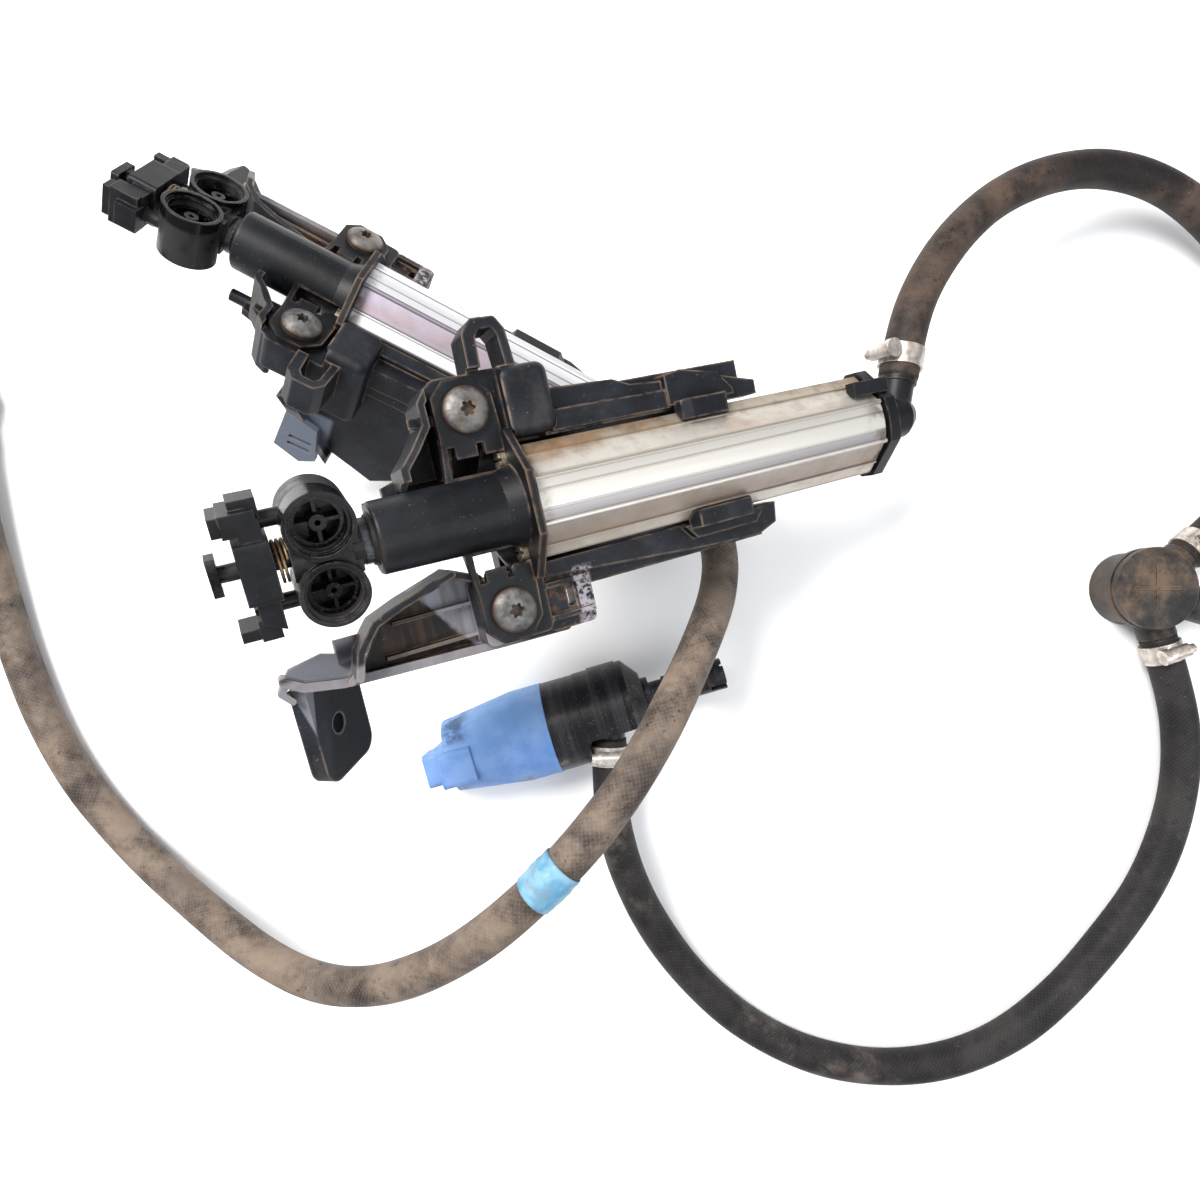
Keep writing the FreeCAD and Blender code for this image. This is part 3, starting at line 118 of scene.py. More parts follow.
# ---------------------------------------------------------------- materials
def srgb(red, green, blue):
    """A colour given in 0-255 screen values, as the linear RGBA that shaders take."""
    values = []
    for value in (red, green, blue):
        value = value / 255
        values.append(value / 12.92 if value <= 0.04045 else ((value + 0.055) / 1.055) ** 2.4)
    return (*values, 1.0)


class Shader:
    """One procedural material, built node by node, in the frame of the part it is on."""

    def __init__(self, name, placement=FLAT):
        self.material = bpy.data.materials.new(name)
        self.material.use_nodes = True
        self.tree = self.material.node_tree
        self.surface = self.tree.nodes["Principled BSDF"]
        origin, angles = placement
        mapping = self.new("ShaderNodeMapping")
        mapping.vector_type = "TEXTURE"
        mapping.inputs["Location"].default_value = metres(origin)
        mapping.inputs["Rotation"].default_value = [math.radians(a) for a in angles]
        self.feed(mapping.inputs["Vector"], self.new("ShaderNodeTexCoord").outputs["Object"])
        self.place = mapping.outputs["Vector"]
        split = self.new("ShaderNodeSeparateXYZ")
        self.feed(split.inputs[0], self.place)
        self.x, self.y, self.z = split.outputs

    def new(self, kind):
        return self.tree.nodes.new(kind)

    def feed(self, socket, value):
        if isinstance(value, bpy.types.NodeSocket):
            self.tree.links.new(value, socket)
        else:
            socket.default_value = value

    def math(self, operation, a, b=0.0):
        node = self.new("ShaderNodeMath")
        node.operation = operation
        self.feed(node.inputs[0], a)
        self.feed(node.inputs[1], b)
        return node.outputs[0]

    def noise(self, scale, detail=4.0, stretch=None, rough=0.6):
        """Noise from 0 to 1 with scale features per metre, drawn out along an axis by stretch."""
        node = self.new("ShaderNodeTexNoise")
        place = self.place
        if stretch:
            scaled = self.new("ShaderNodeVectorMath")
            scaled.operation = "MULTIPLY"
            self.feed(scaled.inputs[0], place)
            scaled.inputs[1].default_value = stretch
            place = scaled.outputs[0]
        self.feed(node.inputs["Vector"], place)
        node.inputs["Scale"].default_value = scale
        node.inputs["Detail"].default_value = detail
        node.inputs["Roughness"].default_value = rough
        return node.outputs["Fac"]

    def fade(self, value, low, high):
        """0 below low, 1 above high and smooth between them. High may be the lower one."""
        node = self.new("ShaderNodeMapRange")
        node.interpolation_type = "SMOOTHSTEP"
        self.feed(node.inputs["Value"], value)
        node.inputs["From Min"].default_value = low
        node.inputs["From Max"].default_value = high
        return node.outputs["Result"]

    def scale(self, value, low, high):
        """0 to 1 turned into low to high."""
        node = self.new("ShaderNodeMapRange")
        self.feed(node.inputs["Value"], value)
        node.inputs["To Min"].default_value = low
        node.inputs["To Max"].default_value = high
        return node.outputs["Result"]

    def mix(self, factor, a, b):
        node = self.new("ShaderNodeMix")
        node.data_type = "RGBA"
        self.feed(node.inputs[0], factor)
        self.feed(node.inputs[6], a)
        self.feed(node.inputs[7], b)
        return node.outputs[2]

    def ramp(self, value, stops):
        node = self.new("ShaderNodeValToRGB")
        self.feed(node.inputs[0], value)
        elements = node.color_ramp.elements
        while len(elements) < len(stops):
            elements.new(0.5)
        for element, (position, colour) in zip(elements, stops):
            element.position = position
            element.color = colour
        return node.outputs[0]

    def times(self, *values):
        result = values[0]
        for value in values[1:]:
            result = self.math("MULTIPLY", result, value)
        return result

    def up(self):
        """How far the surface faces upwards, from 0 to 1."""
        split = self.new("ShaderNodeSeparateXYZ")
        self.feed(split.inputs[0], self.new("ShaderNodeNewGeometry").outputs["Normal"])
        return self.fade(split.outputs[2], -0.1, 0.9)

    def edge(self, radius=0.0008):
        """1 on the sharp edges of a shape, falling to 0 within radius of them."""
        bevel = self.new("ShaderNodeBevel")
        bevel.samples = 4
        bevel.inputs["Radius"].default_value = radius
        dot = self.new("ShaderNodeVectorMath")
        dot.operation = "DOT_PRODUCT"
        self.feed(dot.inputs[0], bevel.outputs[0])
        self.feed(dot.inputs[1], self.new("ShaderNodeNewGeometry").outputs["Normal"])
        return self.fade(dot.outputs["Value"], 0.995, 0.86)

    def round_edges(self, radius=0.0004):
        bevel = self.new("ShaderNodeBevel")
        bevel.samples = 4
        bevel.inputs["Radius"].default_value = radius
        return bevel.outputs[0]

    def bump(self, height, strength, distance=0.0004, rounded=0.0004):
        node = self.new("ShaderNodeBump")
        node.inputs["Strength"].default_value = strength
        node.inputs["Distance"].default_value = distance
        self.feed(node.inputs["Height"], height)
        if rounded:
            self.feed(node.inputs["Normal"], self.round_edges(rounded))
        self.feed(self.surface.inputs["Normal"], node.outputs[0])

    def finish(self, colour, roughness, metallic=0.0, specular=0.22):
        self.feed(self.surface.inputs["Base Color"], colour)
        self.feed(self.surface.inputs["Roughness"], roughness)
        self.surface.inputs["Metallic"].default_value = metallic
        self.surface.inputs["Specular IOR Level"].default_value = specular
        return self.material


def moulded_plastic(name, placement, base, light, dust, dust_from, edge):
    """Black moulded plastic with a fine grain, dust on what faces up, worn edges and scattered flecks."""
    s = Shader(name, placement)
    clouds = s.noise(70, 5)
    grain = s.noise(2600, 2)
    colour = s.mix(s.fade(clouds, 0.35, 0.7), base, light)
    film = s.fade(s.noise(38, 8, rough=0.68), dust_from, dust_from + 0.22)
    dusty = s.times(film, s.scale(s.up(), 0.35, 1.0), s.scale(s.noise(600, 3), 0.4, 1.0))
    colour = s.mix(s.math("MULTIPLY", dusty, 0.75), colour, dust)
    worn = s.times(s.edge(), s.fade(s.noise(160, 5), 0.40, 0.62), 0.5)
    colour = s.mix(worn, colour, edge)
    flecks = s.fade(s.noise(900, 2, rough=0.8), 0.70, 0.76)
    colour = s.mix(s.math("MULTIPLY", flecks, 0.35), colour, dust)
    rough = s.scale(s.math("MAXIMUM", dusty, s.math("MULTIPLY", grain, 0.5)), 0.34, 0.6)
    s.bump(s.math("ADD", grain, s.noise(300, 3)), 0.16)
    return s.finish(colour, rough)


def bracket_plastic(name, placement, flip):
    """The bracket: moulded plastic, with brown streaks, pale dust and a painted shadow on the wing's
    floor.
    """
    s = Shader(name, placement)
    side = s.math("MULTIPLY", s.y, flip)
    colour = s.mix(s.fade(s.noise(60, 5), 0.35, 0.7), srgb(12, 14, 19), srgb(29, 32, 40))
    film = s.fade(s.noise(34, 8, rough=0.68), 0.52, 0.74)
    dusty = s.times(film, s.up(), s.scale(s.noise(500, 3), 0.4, 1.0))
    colour = s.mix(s.math("MULTIPLY", dusty, 0.5), colour, srgb(84, 77, 72))
    # The wing's floor: a painted shadow of the slanted wall, dark brown with streaks, pale lit floor
    # elsewhere and grey at its outer end
    wing = s.times(s.fade(side, -0.0155, -0.0185), s.fade(s.x, -0.0175, -0.0195),
                   s.fade(s.z, -0.0085, -0.0105), s.fade(s.z, -0.0160, -0.0152))
    shade_line = s.math("ADD", s.x, s.math("MULTIPLY", side, 0.75))
    lit = s.fade(s.math("ADD", shade_line, s.scale(s.noise(90, 3), -0.003, 0.003)), -0.0535, -0.0515)
    streaks = s.noise(150, 6, (1.0, 0.12, 1.0))
    # Painted shadow of the slanted wall on the wing's floor
    painted_shadow_floor = s.mix(s.fade(streaks, 0.45, 0.62), srgb(26, 21, 19), srgb(66, 46, 33))
    pale_floor = s.mix(s.fade(streaks, 0.38, 0.6), srgb(150, 152, 162), srgb(122, 118, 120))
    outer = s.fade(s.x, -0.0570, -0.0595)
    floor_colour = s.mix(outer, s.mix(lit, painted_shadow_floor, pale_floor), srgb(104, 106, 114))
    colour = s.mix(wing, colour, floor_colour)
    # Dust on the top of the ledge
    ledge = s.times(s.fade(side, -0.0335, -0.0355), s.fade(s.x, -0.004, -0.012), s.up(),
                    s.fade(s.z, -0.0120, -0.0085))
    colour = s.mix(s.times(ledge, s.scale(s.noise(260, 5), 0.45, 1.0)), colour, srgb(128, 125, 130))
    # Rust low in the latch frame and a pale frost on its outer half
    latch = s.times(s.fade(side, -0.022, -0.024), s.fade(s.x, 0.0005, 0.0015), s.fade(s.x, 0.018, 0.0165))
    rust = s.times(latch, s.fade(s.z, -0.0005, -0.0019), s.fade(s.noise(420, 5), 0.49, 0.65))
    colour = s.mix(rust, colour, srgb(84, 52, 34))
    frost = s.times(latch, s.fade(s.x, 0.0100, 0.0112), s.fade(s.noise(700, 4), 0.4, 0.58), s.up())
    colour = s.mix(s.math("MULTIPLY", frost, 0.8), colour, srgb(158, 152, 160))
    # Painted shade: the hanging foot is blacker than the rest; the slotted flange is blue-grey
    foot = s.times(s.fade(s.z, -0.0195, -0.0225), s.fade(s.x, -0.040, -0.046))
    colour = s.mix(foot, colour, srgb(8, 9, 11))
    flange = s.times(s.fade(s.z, -0.0320, -0.0345), s.fade(s.x, -0.0135, -0.0115),
                     s.fade(s.x, 0.0085, 0.0065))
    colour = s.mix(s.math("MULTIPLY", flange, 0.9), colour, srgb(96, 104, 118))
    # Worn edges, tan on the body; a painted highlight, grey, along the foot's edges
    edges = s.edge(0.0012)
    worn = s.times(edges, s.fade(s.noise(140, 5), 0.34, 0.58), 0.62)
    colour = s.mix(worn, colour, srgb(140, 122, 104))
    # Painted highlight along the hanging foot's edges
    colour = s.mix(s.times(foot, edges, 0.7), colour, srgb(128, 132, 142))
    flecks = s.fade(s.noise(900, 2, rough=0.8), 0.69, 0.75)
    colour = s.mix(s.math("MULTIPLY", flecks, 0.4), colour, srgb(150, 140, 128))
    grain = s.noise(2400, 2)
    s.bump(s.math("ADD", grain, s.noise(260, 3)), 0.18)
    rough = s.scale(s.math("MAXIMUM", dusty, s.math("MULTIPLY", grain, 0.5)), 0.38, 0.72)
    return s.finish(colour, rough)


def extruded_aluminium(name, placement, lit_and_shaded_lanes, stain_sides):
    """Satin extrusion: lanes of painted light, shade and reflection, drawing lines, brown stains and dark
    specks.
    """
    s = Shader(name, placement)
    across = s.math("ADD", s.math("MULTIPLY", s.y, 1 / CYLINDER_WIDTH), 0.5)
    # Painted light, shade and reflections of the faces, lane by lane across the width
    colour = s.ramp(across, lit_and_shaded_lanes)
    streaks = s.noise(260, 4, (0.04, 1.0, 1.0))
    colour = s.mix(s.scale(streaks, 0.0, 0.30), colour, srgb(150, 146, 142))
    patches = s.fade(s.noise(46, 7, (0.5, 1.0, 1.0), 0.65), 0.47, 0.64)
    margin = s.ramp(across, stain_sides)
    colour = s.mix(s.times(patches, margin, 0.85), colour, srgb(142, 108, 74))
    ends = s.math("MAXIMUM", s.fade(s.x, 0.006, 0.0), s.fade(s.x, 0.122, 0.134))
    grime = s.times(s.math("MAXIMUM", ends, s.times(margin, 0.45)), s.fade(s.noise(180, 6), 0.44, 0.66))
    colour = s.mix(s.math("MULTIPLY", grime, 0.8), colour, srgb(88, 70, 56))
    specks = s.fade(s.noise(520, 3, (0.6, 1.0, 1.0), 0.75), 0.70, 0.76)
    colour = s.mix(s.math("MULTIPLY", specks, 0.7), colour, srgb(92, 78, 64))
    rough = s.scale(s.math("MAXIMUM", s.times(patches, margin), streaks), 0.30, 0.58)
    s.bump(s.math("ADD", s.noise(900, 3, (0.03, 1.0, 1.0)), s.noise(700, 3)), 0.12, 0.0002, 0.0003)
    return s.finish(colour, rough, 0.62, 0.5)


def worn_steel(name, placement, base, light, rust, rust_from, roughness=(0.3, 0.55), metallic=0.85):
    """Plated or tarnished steel with spots of rust."""
    s = Shader(name, placement)
    colour = s.mix(s.fade(s.noise(240, 6), 0.35, 0.65), base, light)
    spots = s.fade(s.noise(420, 6, rough=0.7), rust_from, rust_from + 0.14)
    colour = s.mix(s.math("MULTIPLY", spots, 0.8), colour, rust)
    colour = s.mix(s.math("MULTIPLY", s.edge(0.0005), 0.35), colour, light)
    s.bump(s.noise(1500, 4), 0.2, 0.0002, 0.0003)
    return s.finish(colour, s.scale(s.math("MAXIMUM", spots, s.noise(800, 2)), *roughness), metallic)


def ear_screw_steel(name, placement):
    """Dull grey screw heads, brown down in the star sockets."""
    s = Shader(name, placement)
    colour = s.mix(s.fade(s.noise(200, 6), 0.35, 0.65), srgb(74, 73, 72), srgb(124, 122, 120))
    depth = s.fade(s.z, 0.0052, 0.0044)
    colour = s.mix(s.math("MULTIPLY", depth, s.scale(s.noise(500, 4), 0.5, 1.0)), colour, srgb(62, 40, 28))
    dust = s.fade(s.noise(90, 7, rough=0.7), 0.55, 0.7)
    colour = s.mix(s.math("MULTIPLY", dust, 0.5), colour, srgb(128, 112, 96))
    s.bump(s.noise(1300, 5), 0.3, 0.0003, 0.0005)
    return s.finish(colour, s.scale(s.noise(600, 3), 0.38, 0.62), 0.55)


def sleeve_plastic(name, placement):
    """Satin black sleeve, blue-black, with tan wear at its mouth and flange."""
    s = Shader(name, placement)
    colour = s.mix(s.fade(s.noise(55, 6), 0.35, 0.68), srgb(9, 10, 13), srgb(23, 25, 30))
    film = s.times(s.fade(s.noise(30, 8, rough=0.7), 0.5, 0.72), s.up())
    colour = s.mix(s.math("MULTIPLY", film, 0.3), colour, srgb(64, 62, 62))
    edges = s.edge(0.0014)
    near_ends = s.math("MAXIMUM", s.fade(s.x, -0.040, -0.046), s.fade(s.x, -0.008, -0.002))
    worn = s.times(edges, s.scale(near_ends, 0.35, 1.0), s.fade(s.noise(120, 5), 0.36, 0.58))
    colour = s.mix(s.math("MULTIPLY", worn, 0.75), colour, srgb(134, 110, 88))
    flecks = s.fade(s.noise(800, 2, rough=0.8), 0.68, 0.75)
    colour = s.mix(s.math("MULTIPLY", flecks, 0.4), colour, srgb(140, 128, 116))
    grain = s.noise(2200, 3)
    s.bump(s.math("ADD", grain, s.noise(240, 3)), 0.16)
    return s.finish(colour, s.scale(s.math("MAXIMUM", film, s.math("MULTIPLY", grain, 0.6)), 0.33, 0.66))


def nozzle_plastic(name, placement):
    """Wet gloss at the chambers' mouths, grey dust on the flanks below them."""
    s = Shader(name, placement)
    colour = s.mix(s.fade(s.noise(120, 5), 0.4, 0.7), srgb(6, 7, 9), srgb(14, 15, 18))
    flank = s.times(s.fade(s.z, 0.0078, 0.0058), s.fade(s.noise(60, 7, rough=0.65), 0.36, 0.56))
    colour = s.mix(s.math("MULTIPLY", flank, 0.45), colour, srgb(60, 58, 57))
    rim = s.times(s.edge(0.0006), s.fade(s.noise(240, 5), 0.46, 0.62), 0.35)
    colour = s.mix(rim, colour, srgb(120, 112, 104))
    s.surface.inputs["Coat Weight"].default_value = 0.12
    s.surface.inputs["Coat Roughness"].default_value = 0.06
    s.bump(s.math("ADD", s.noise(420, 4), s.noise(1800, 2)), 0.22, 0.0003, 0.0005)
    return s.finish(colour, s.scale(flank, 0.16, 0.55), specular=0.14)


def gloss_black(name, placement=FLAT):
    s = Shader(name, placement)
    # Grey spots: painted glints of water droplets on the gloss
    droplet_glints = s.fade(s.noise(900, 3), 0.58, 0.66)
    colour = s.mix(s.math("MULTIPLY", droplet_glints, 0.5), srgb(4, 4, 5), srgb(58, 58, 62))
    s.surface.inputs["Coat Weight"].default_value = 0.15
    s.surface.inputs["Coat Roughness"].default_value = 0.06
    s.bump(s.noise(1000, 3), 0.25, 0.0002, 0.0004)
    return s.finish(colour, s.scale(s.noise(500, 3), 0.10, 0.30), specular=0.12)


def pump_blue(name):
    """Mid-blue moulded cap with painted sunlight on one side, soft stains, scuffs and dirt along its lower
    side.
    """
    s = Shader(name, PUMP)
    colour = s.mix(s.fade(s.noise(55, 5), 0.35, 0.65), srgb(92, 131, 190), srgb(117, 151, 202))
    # Painted sunlight: the cap lighter towards its +y side
    painted_sunlight = s.fade(s.y, -0.004, 0.012)
    colour = s.mix(s.math("MULTIPLY", painted_sunlight, 0.25), colour, srgb(130, 172, 212))
    low_side = s.scale(s.fade(s.y, 0.0, -0.014), 0.25, 1.0)
    stains = s.times(s.fade(s.noise(95, 7, rough=0.68), 0.55, 0.7), low_side)
    colour = s.mix(s.math("MULTIPLY", stains, 0.75), colour, srgb(120, 102, 92))
    smudge = s.times(s.fade(s.x, -0.030, -0.037), s.fade(s.x, -0.046, -0.041), s.fade(s.y, 0.0045, 0.008),
                     s.fade(s.noise(130, 5), 0.36, 0.56))
    colour = s.mix(s.math("MULTIPLY", smudge, 0.75), colour, srgb(38, 52, 84))
    flecks = s.fade(s.noise(700, 2, rough=0.8), 0.67, 0.74)
    colour = s.mix(s.math("MULTIPLY", flecks, 0.5), colour, srgb(64, 78, 108))
    s.bump(s.math("ADD", s.noise(1800, 2), s.noise(300, 3)), 0.2, 0.0003, 0.0006)
    return s.finish(colour, s.scale(s.math("MAXIMUM", stains, s.noise(400, 2)), 0.36, 0.66))


def pump_black(name):
    """Black can with turned-looking sheen lines and tan scuffs."""
    s = Shader(name, PUMP)
    rings = s.noise(420, 3, (1.0, 0.05, 0.05))
    colour = s.mix(s.fade(rings, 0.4, 0.7), srgb(20, 20, 23), srgb(46, 46, 51))
    scuffs = s.fade(s.noise(120, 8, rough=0.72), 0.56, 0.68)
    low_side = s.scale(s.fade(s.y, 0.002, -0.014), 0.3, 1.0)
    colour = s.mix(s.times(scuffs, low_side, 0.7), colour, srgb(138, 118, 100))
    specks = s.fade(s.noise(1100, 2, rough=0.8), 0.66, 0.73)
    colour = s.mix(s.math("MULTIPLY", specks, 0.5), colour, srgb(150, 144, 138))
    s.bump(s.math("ADD", rings, s.noise(1600, 3)), 0.14, 0.0002, 0.0004)
    return s.finish(colour, s.scale(s.math("MAXIMUM", scuffs, s.noise(300, 3)), 0.24, 0.52))


def plain_metal(name, base, light, roughness, scale=300):
    s = Shader(name)
    colour = s.mix(s.fade(s.noise(scale, 5), 0.35, 0.65), base, light)
    s.bump(s.noise(scale * 5, 3), 0.15, 0.0002, 0.0002)
    return s.finish(colour, s.scale(s.noise(scale * 2, 3), *roughness), 0.8)


def inner_plastic(name, base, light):
    s = Shader(name)
    colour = s.mix(s.fade(s.noise(150, 4), 0.35, 0.65), base, light)
    s.bump(s.noise(2000, 2), 0.1)
    return s.finish(colour, s.scale(s.noise(400, 2), 0.4, 0.6))


def hose_rubber(name, rubber, worn, dust, dust_from, knit):
    """Rubber hose over a fine diagonal knit, with dust in patches and dark bare flecks.

    The hose's own map runs round it once in U and along it in tenths of a metre in V.
    """
    s = Shader(name)
    split = s.new("ShaderNodeSeparateXYZ")
    s.feed(split.inputs[0], s.new("ShaderNodeTexCoord").outputs["UV"])
    around, along = split.outputs[0], split.outputs[1]
    threads = []
    for turn in (-1, 1):
        round_phase = s.times(around, THREADS_ROUND * math.tau * turn)
        phase = s.math("ADD", round_phase, s.times(along, THREADS_ALONG * math.tau))
        threads.append(s.scale(s.math("SINE", phase), 0.5, 1.0))
    weave = s.math("MULTIPLY", *threads)
    colour = s.mix(s.fade(s.noise(48, 6), 0.36, 0.66), rubber, worn)
    colour = s.mix(s.times(s.fade(weave, 0.3, 0.9), knit), colour, dust)
    film = s.fade(s.noise(30, 8, rough=0.7), dust_from, dust_from + 0.2)
    colour = s.mix(s.times(film, s.scale(s.noise(420, 4), 0.55, 1.0), 0.85), colour, dust)
    bare = s.times(s.fade(s.noise(170, 6, rough=0.72), 0.60, 0.67), 0.8)
    colour = s.mix(bare, colour, rubber)
    pale = s.fade(s.noise(650, 3, rough=0.8), 0.68, 0.74)
    colour = s.mix(s.math("MULTIPLY", pale, 0.35), colour, srgb(172, 160, 148))
    height = s.math("ADD", s.math("MULTIPLY", weave, 0.8), s.noise(500, 4))
    s.bump(height, 0.32, 0.0003, 0.0)
    return s.finish(colour, s.scale(s.math("MAXIMUM", film, s.noise(240, 3)), 0.42, 0.78))


def marker_tape(name):
    """Light blue wrapped tape, smudged grey where it was handled."""
    s = Shader(name)
    colour = s.mix(s.fade(s.noise(150, 5), 0.35, 0.65), srgb(84, 138, 168), srgb(122, 162, 184))
    smudges = s.fade(s.noise(120, 7, rough=0.7), 0.5, 0.66)
    colour = s.mix(s.math("MULTIPLY", smudges, 0.6), colour, srgb(116, 124, 132))
    s.bump(s.noise(800, 4), 0.2, 0.0003, 0.0)
    return s.finish(colour, s.scale(smudges, 0.34, 0.6))


# Tones across each cylinder: painted light and shade, painted bead highlights and painted reflections in
# dark lines
A_LIT_AND_SHADED_LANES = [
    (0.035, srgb(150, 142, 132)), (0.045, srgb(200, 195, 186)), (0.115, srgb(194, 188, 178)),
    (0.13, srgb(96, 88, 82)), (0.15, srgb(150, 141, 132)), (0.29, srgb(160, 152, 144)),
    (0.31, srgb(220, 216, 208)), (0.335, srgb(136, 132, 133)), (0.41, srgb(158, 155, 156)),
    (0.43, srgb(208, 205, 198)), (0.57, srgb(218, 215, 206)), (0.585, srgb(150, 142, 132)),
    (0.60, srgb(211, 208, 202)), (0.67, srgb(203, 199, 191)), (0.69, srgb(140, 130, 118)),
    (0.72, srgb(210, 205, 196)), (0.86, srgb(202, 195, 184)), (0.875, srgb(120, 106, 88)),
    (0.90, srgb(176, 164, 146)), (1.00, srgb(150, 140, 126)),
]
B_LIT_AND_SHADED_LANES = [
    (0.035, srgb(58, 52, 55)), (0.045, srgb(214, 214, 218)), (0.115, srgb(224, 224, 228)),
    (0.13, srgb(70, 62, 66)), (0.15, srgb(150, 142, 160)), (0.29, srgb(166, 158, 174)),
    (0.305, srgb(76, 70, 74)), (0.33, srgb(222, 222, 226)), (0.41, srgb(228, 228, 231)),
    (0.425, srgb(116, 110, 114)), (0.44, srgb(224, 224, 228)), (0.57, srgb(218, 218, 222)),
    (0.585, srgb(96, 90, 94)), (0.60, srgb(222, 222, 226)), (1.00, srgb(206, 206, 210)),
]
CLEAR = (0.0, 0.0, 0.0, 1.0)
SOME = (0.35, 0.35, 0.35, 1.0)
FULL = (1.0, 1.0, 1.0, 1.0)
A_STAINS = [
    (0.0, SOME), (0.14, SOME), (0.30, SOME), (0.33, CLEAR), (0.68, CLEAR), (0.72, SOME), (0.90, FULL),
]
B_STAINS = [(0.0, CLEAR), (0.13, CLEAR), (0.17, SOME), (0.27, SOME), (0.31, CLEAR), (1.0, CLEAR)]


def unit_materials(letter, placement, flip, lit_and_shaded_lanes, stains):
    """Material of each node of one telescopic unit."""
    tag = "_" + letter
    seal = inner_plastic("seal_rubber" + tag, srgb(22, 22, 24), srgb(40, 40, 42))
    steel = worn_steel("small_screws" + tag, placement, srgb(132, 118, 100), srgb(188, 176, 158),
                       srgb(126, 86, 54), 0.56)
    spring = worn_steel("spring_wire" + tag, placement, srgb(96, 76, 56), srgb(150, 126, 98),
                        srgb(84, 52, 34), 0.5, metallic=0.7)
    return {
        "bracket": bracket_plastic("bracket_plastic" + tag, placement, flip),
        "cylinder_body": extruded_aluminium("extruded_aluminium" + tag, placement, lit_and_shaded_lanes, stains),
        "guide_sleeve": sleeve_plastic("sleeve_plastic" + tag, placement),
        "rod_wiper_seal": seal,
        "piston_rod": worn_steel("rod_steel" + tag, placement, srgb(50, 50, 54), srgb(96, 96, 100),
                                 srgb(40, 34, 30), 0.6),
        "piston": inner_plastic("inner_plastic" + tag, srgb(184, 182, 172), srgb(206, 204, 196)),
        "piston_seal": seal,
        "return_spring": spring,
        "nozzle_head": nozzle_plastic("nozzle_plastic" + tag, placement),
        "jet_inserts": gloss_black("jet_plastic" + tag, placement),
        "cover_carrier": moulded_plastic("carrier_plastic" + tag, placement, srgb(11, 12, 15),
                                         srgb(25, 26, 31), srgb(88, 78, 71), 0.58, srgb(110, 97, 86)),
        "carrier_spring": spring,
        "cap_gasket": seal,
        "rear_cap": moulded_plastic("cap_plastic" + tag, placement, srgb(12, 13, 17), srgb(27, 28, 34),
                                    srgb(112, 96, 80), 0.52, srgb(128, 108, 88)),
        "hose_clamp": worn_steel("clamp_steel" + tag, placement, srgb(158, 148, 138), srgb(214, 206, 198),
                                 srgb(132, 106, 84), 0.58, (0.28, 0.5)),
        "ear_screws": ear_screw_steel("ear_screw_steel" + tag, placement),
        "flange_screws": steel,
        "cap_screws": steel,
    }


def paint(node, material):
    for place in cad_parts[node].material_slots:
        place.material = material


def paint_cad():
    for letter, placement, flip, lit_and_shaded_lanes, stains in (("a", UNIT_A, 1.0, A_LIT_AND_SHADED_LANES, A_STAINS),
                                                   ("b", UNIT_B, -1.0, B_LIT_AND_SHADED_LANES, B_STAINS)):
        for part, material in unit_materials(letter, placement, flip, lit_and_shaded_lanes, stains).items():
            paint(part + "_" + letter, material)
    black = pump_black("pump_black")
    paint("pump_connector_cap", pump_blue("pump_blue"))
    paint("pump_motor_housing", black)
    paint("pump_head", black)
    paint("inlet_strainer", black)
    paint("pump_hose_clamp", worn_steel("pump_clamp_steel", PUMP, srgb(170, 164, 156), srgb(226, 222, 216),
                                        srgb(150, 120, 84), 0.6, (0.3, 0.5), 0.6))
    metals = (
        ("pump_terminals", "brass_terminal", srgb(160, 128, 70), srgb(206, 176, 110), (0.3, 0.5)),
        ("pump_magnets", "magnet_iron", srgb(40, 40, 42), srgb(66, 66, 70), (0.5, 0.7)),
        ("pump_armature", "armature_steel", srgb(110, 108, 106), srgb(156, 152, 148), (0.3, 0.5)),
        ("valve_spring", "valve_spring_wire", srgb(130, 126, 120), srgb(186, 182, 176), (0.25, 0.4)),
    )
    for node, name, base, light, roughness in metals:
        paint(node, plain_metal(name, base, light, roughness))
    seal = inner_plastic("fitting_seal", srgb(22, 22, 24), srgb(42, 42, 44))
    paint("pump_shaft_seal", seal)
    paint("connector_seal", seal)
    pale = inner_plastic("fitting_inner", srgb(184, 182, 172), srgb(206, 204, 196))
    paint("pump_impeller", pale)
    paint("valve_disc", pale)
    valve = moulded_plastic("valve_plastic", FLAT, srgb(22, 22, 24), srgb(46, 44, 44), srgb(124, 102, 82),
                            0.44, srgb(140, 116, 92))
    paint("valve_body", valve)
    paint("valve_cover", valve)
    paint("connector_body", valve)
    paint("connector_latch", gloss_black("latch_plastic"))
    clamp = worn_steel("fitting_clamp_steel", FLAT, srgb(158, 148, 138), srgb(214, 206, 198),
                       srgb(132, 106, 84), 0.58, (0.28, 0.5))
    for node in ("valve_clamp_hose_a", "valve_clamp_hose_c", "connector_clamp"):
        paint(node, clamp)


# ---------------------------------------------------------------- hoses
def smooth_line(route):
    """Points read from the route's smooth NURBS line, in the row frame."""
    curve = bpy.data.curves.new("hose_line", "CURVE")
    curve.dimensions = "3D"
    curve.resolution_u = 16
    spline = curve.splines.new("NURBS")
    spline.points.add(len(route) - 1)
    for control, point in zip(spline.points, route):
        control.co = (*metres(point), 1.0)
    spline.order_u = 3
    spline.use_endpoint_u = True
    holder = bpy.data.objects.new("hose_line", curve)
    line = bpy.data.meshes.new_from_object(holder)
    points = [vertex.co.copy() for vertex in line.vertices]
    bpy.data.objects.remove(holder)
    bpy.data.meshes.remove(line)
    return points


def line_length(points):
    return sum((b - a).length for a, b in zip(points, points[1:]))


def stretch_of(points, start, end, spacing):
    """Evenly spaced points of the line from distance start to distance end."""
    count = max(2, round((end - start) / spacing))
    wanted = [start + (end - start) * i / count for i in range(count + 1)]
    result = []
    walked = 0.0
    for a, b in zip(points, points[1:]):
        step = (b - a).length
        while len(result) < len(wanted) and wanted[len(result)] <= walked + step + 1e-9:
            result.append(a.lerp(b, (wanted[len(result)] - walked) / step))
        walked += step
    return result


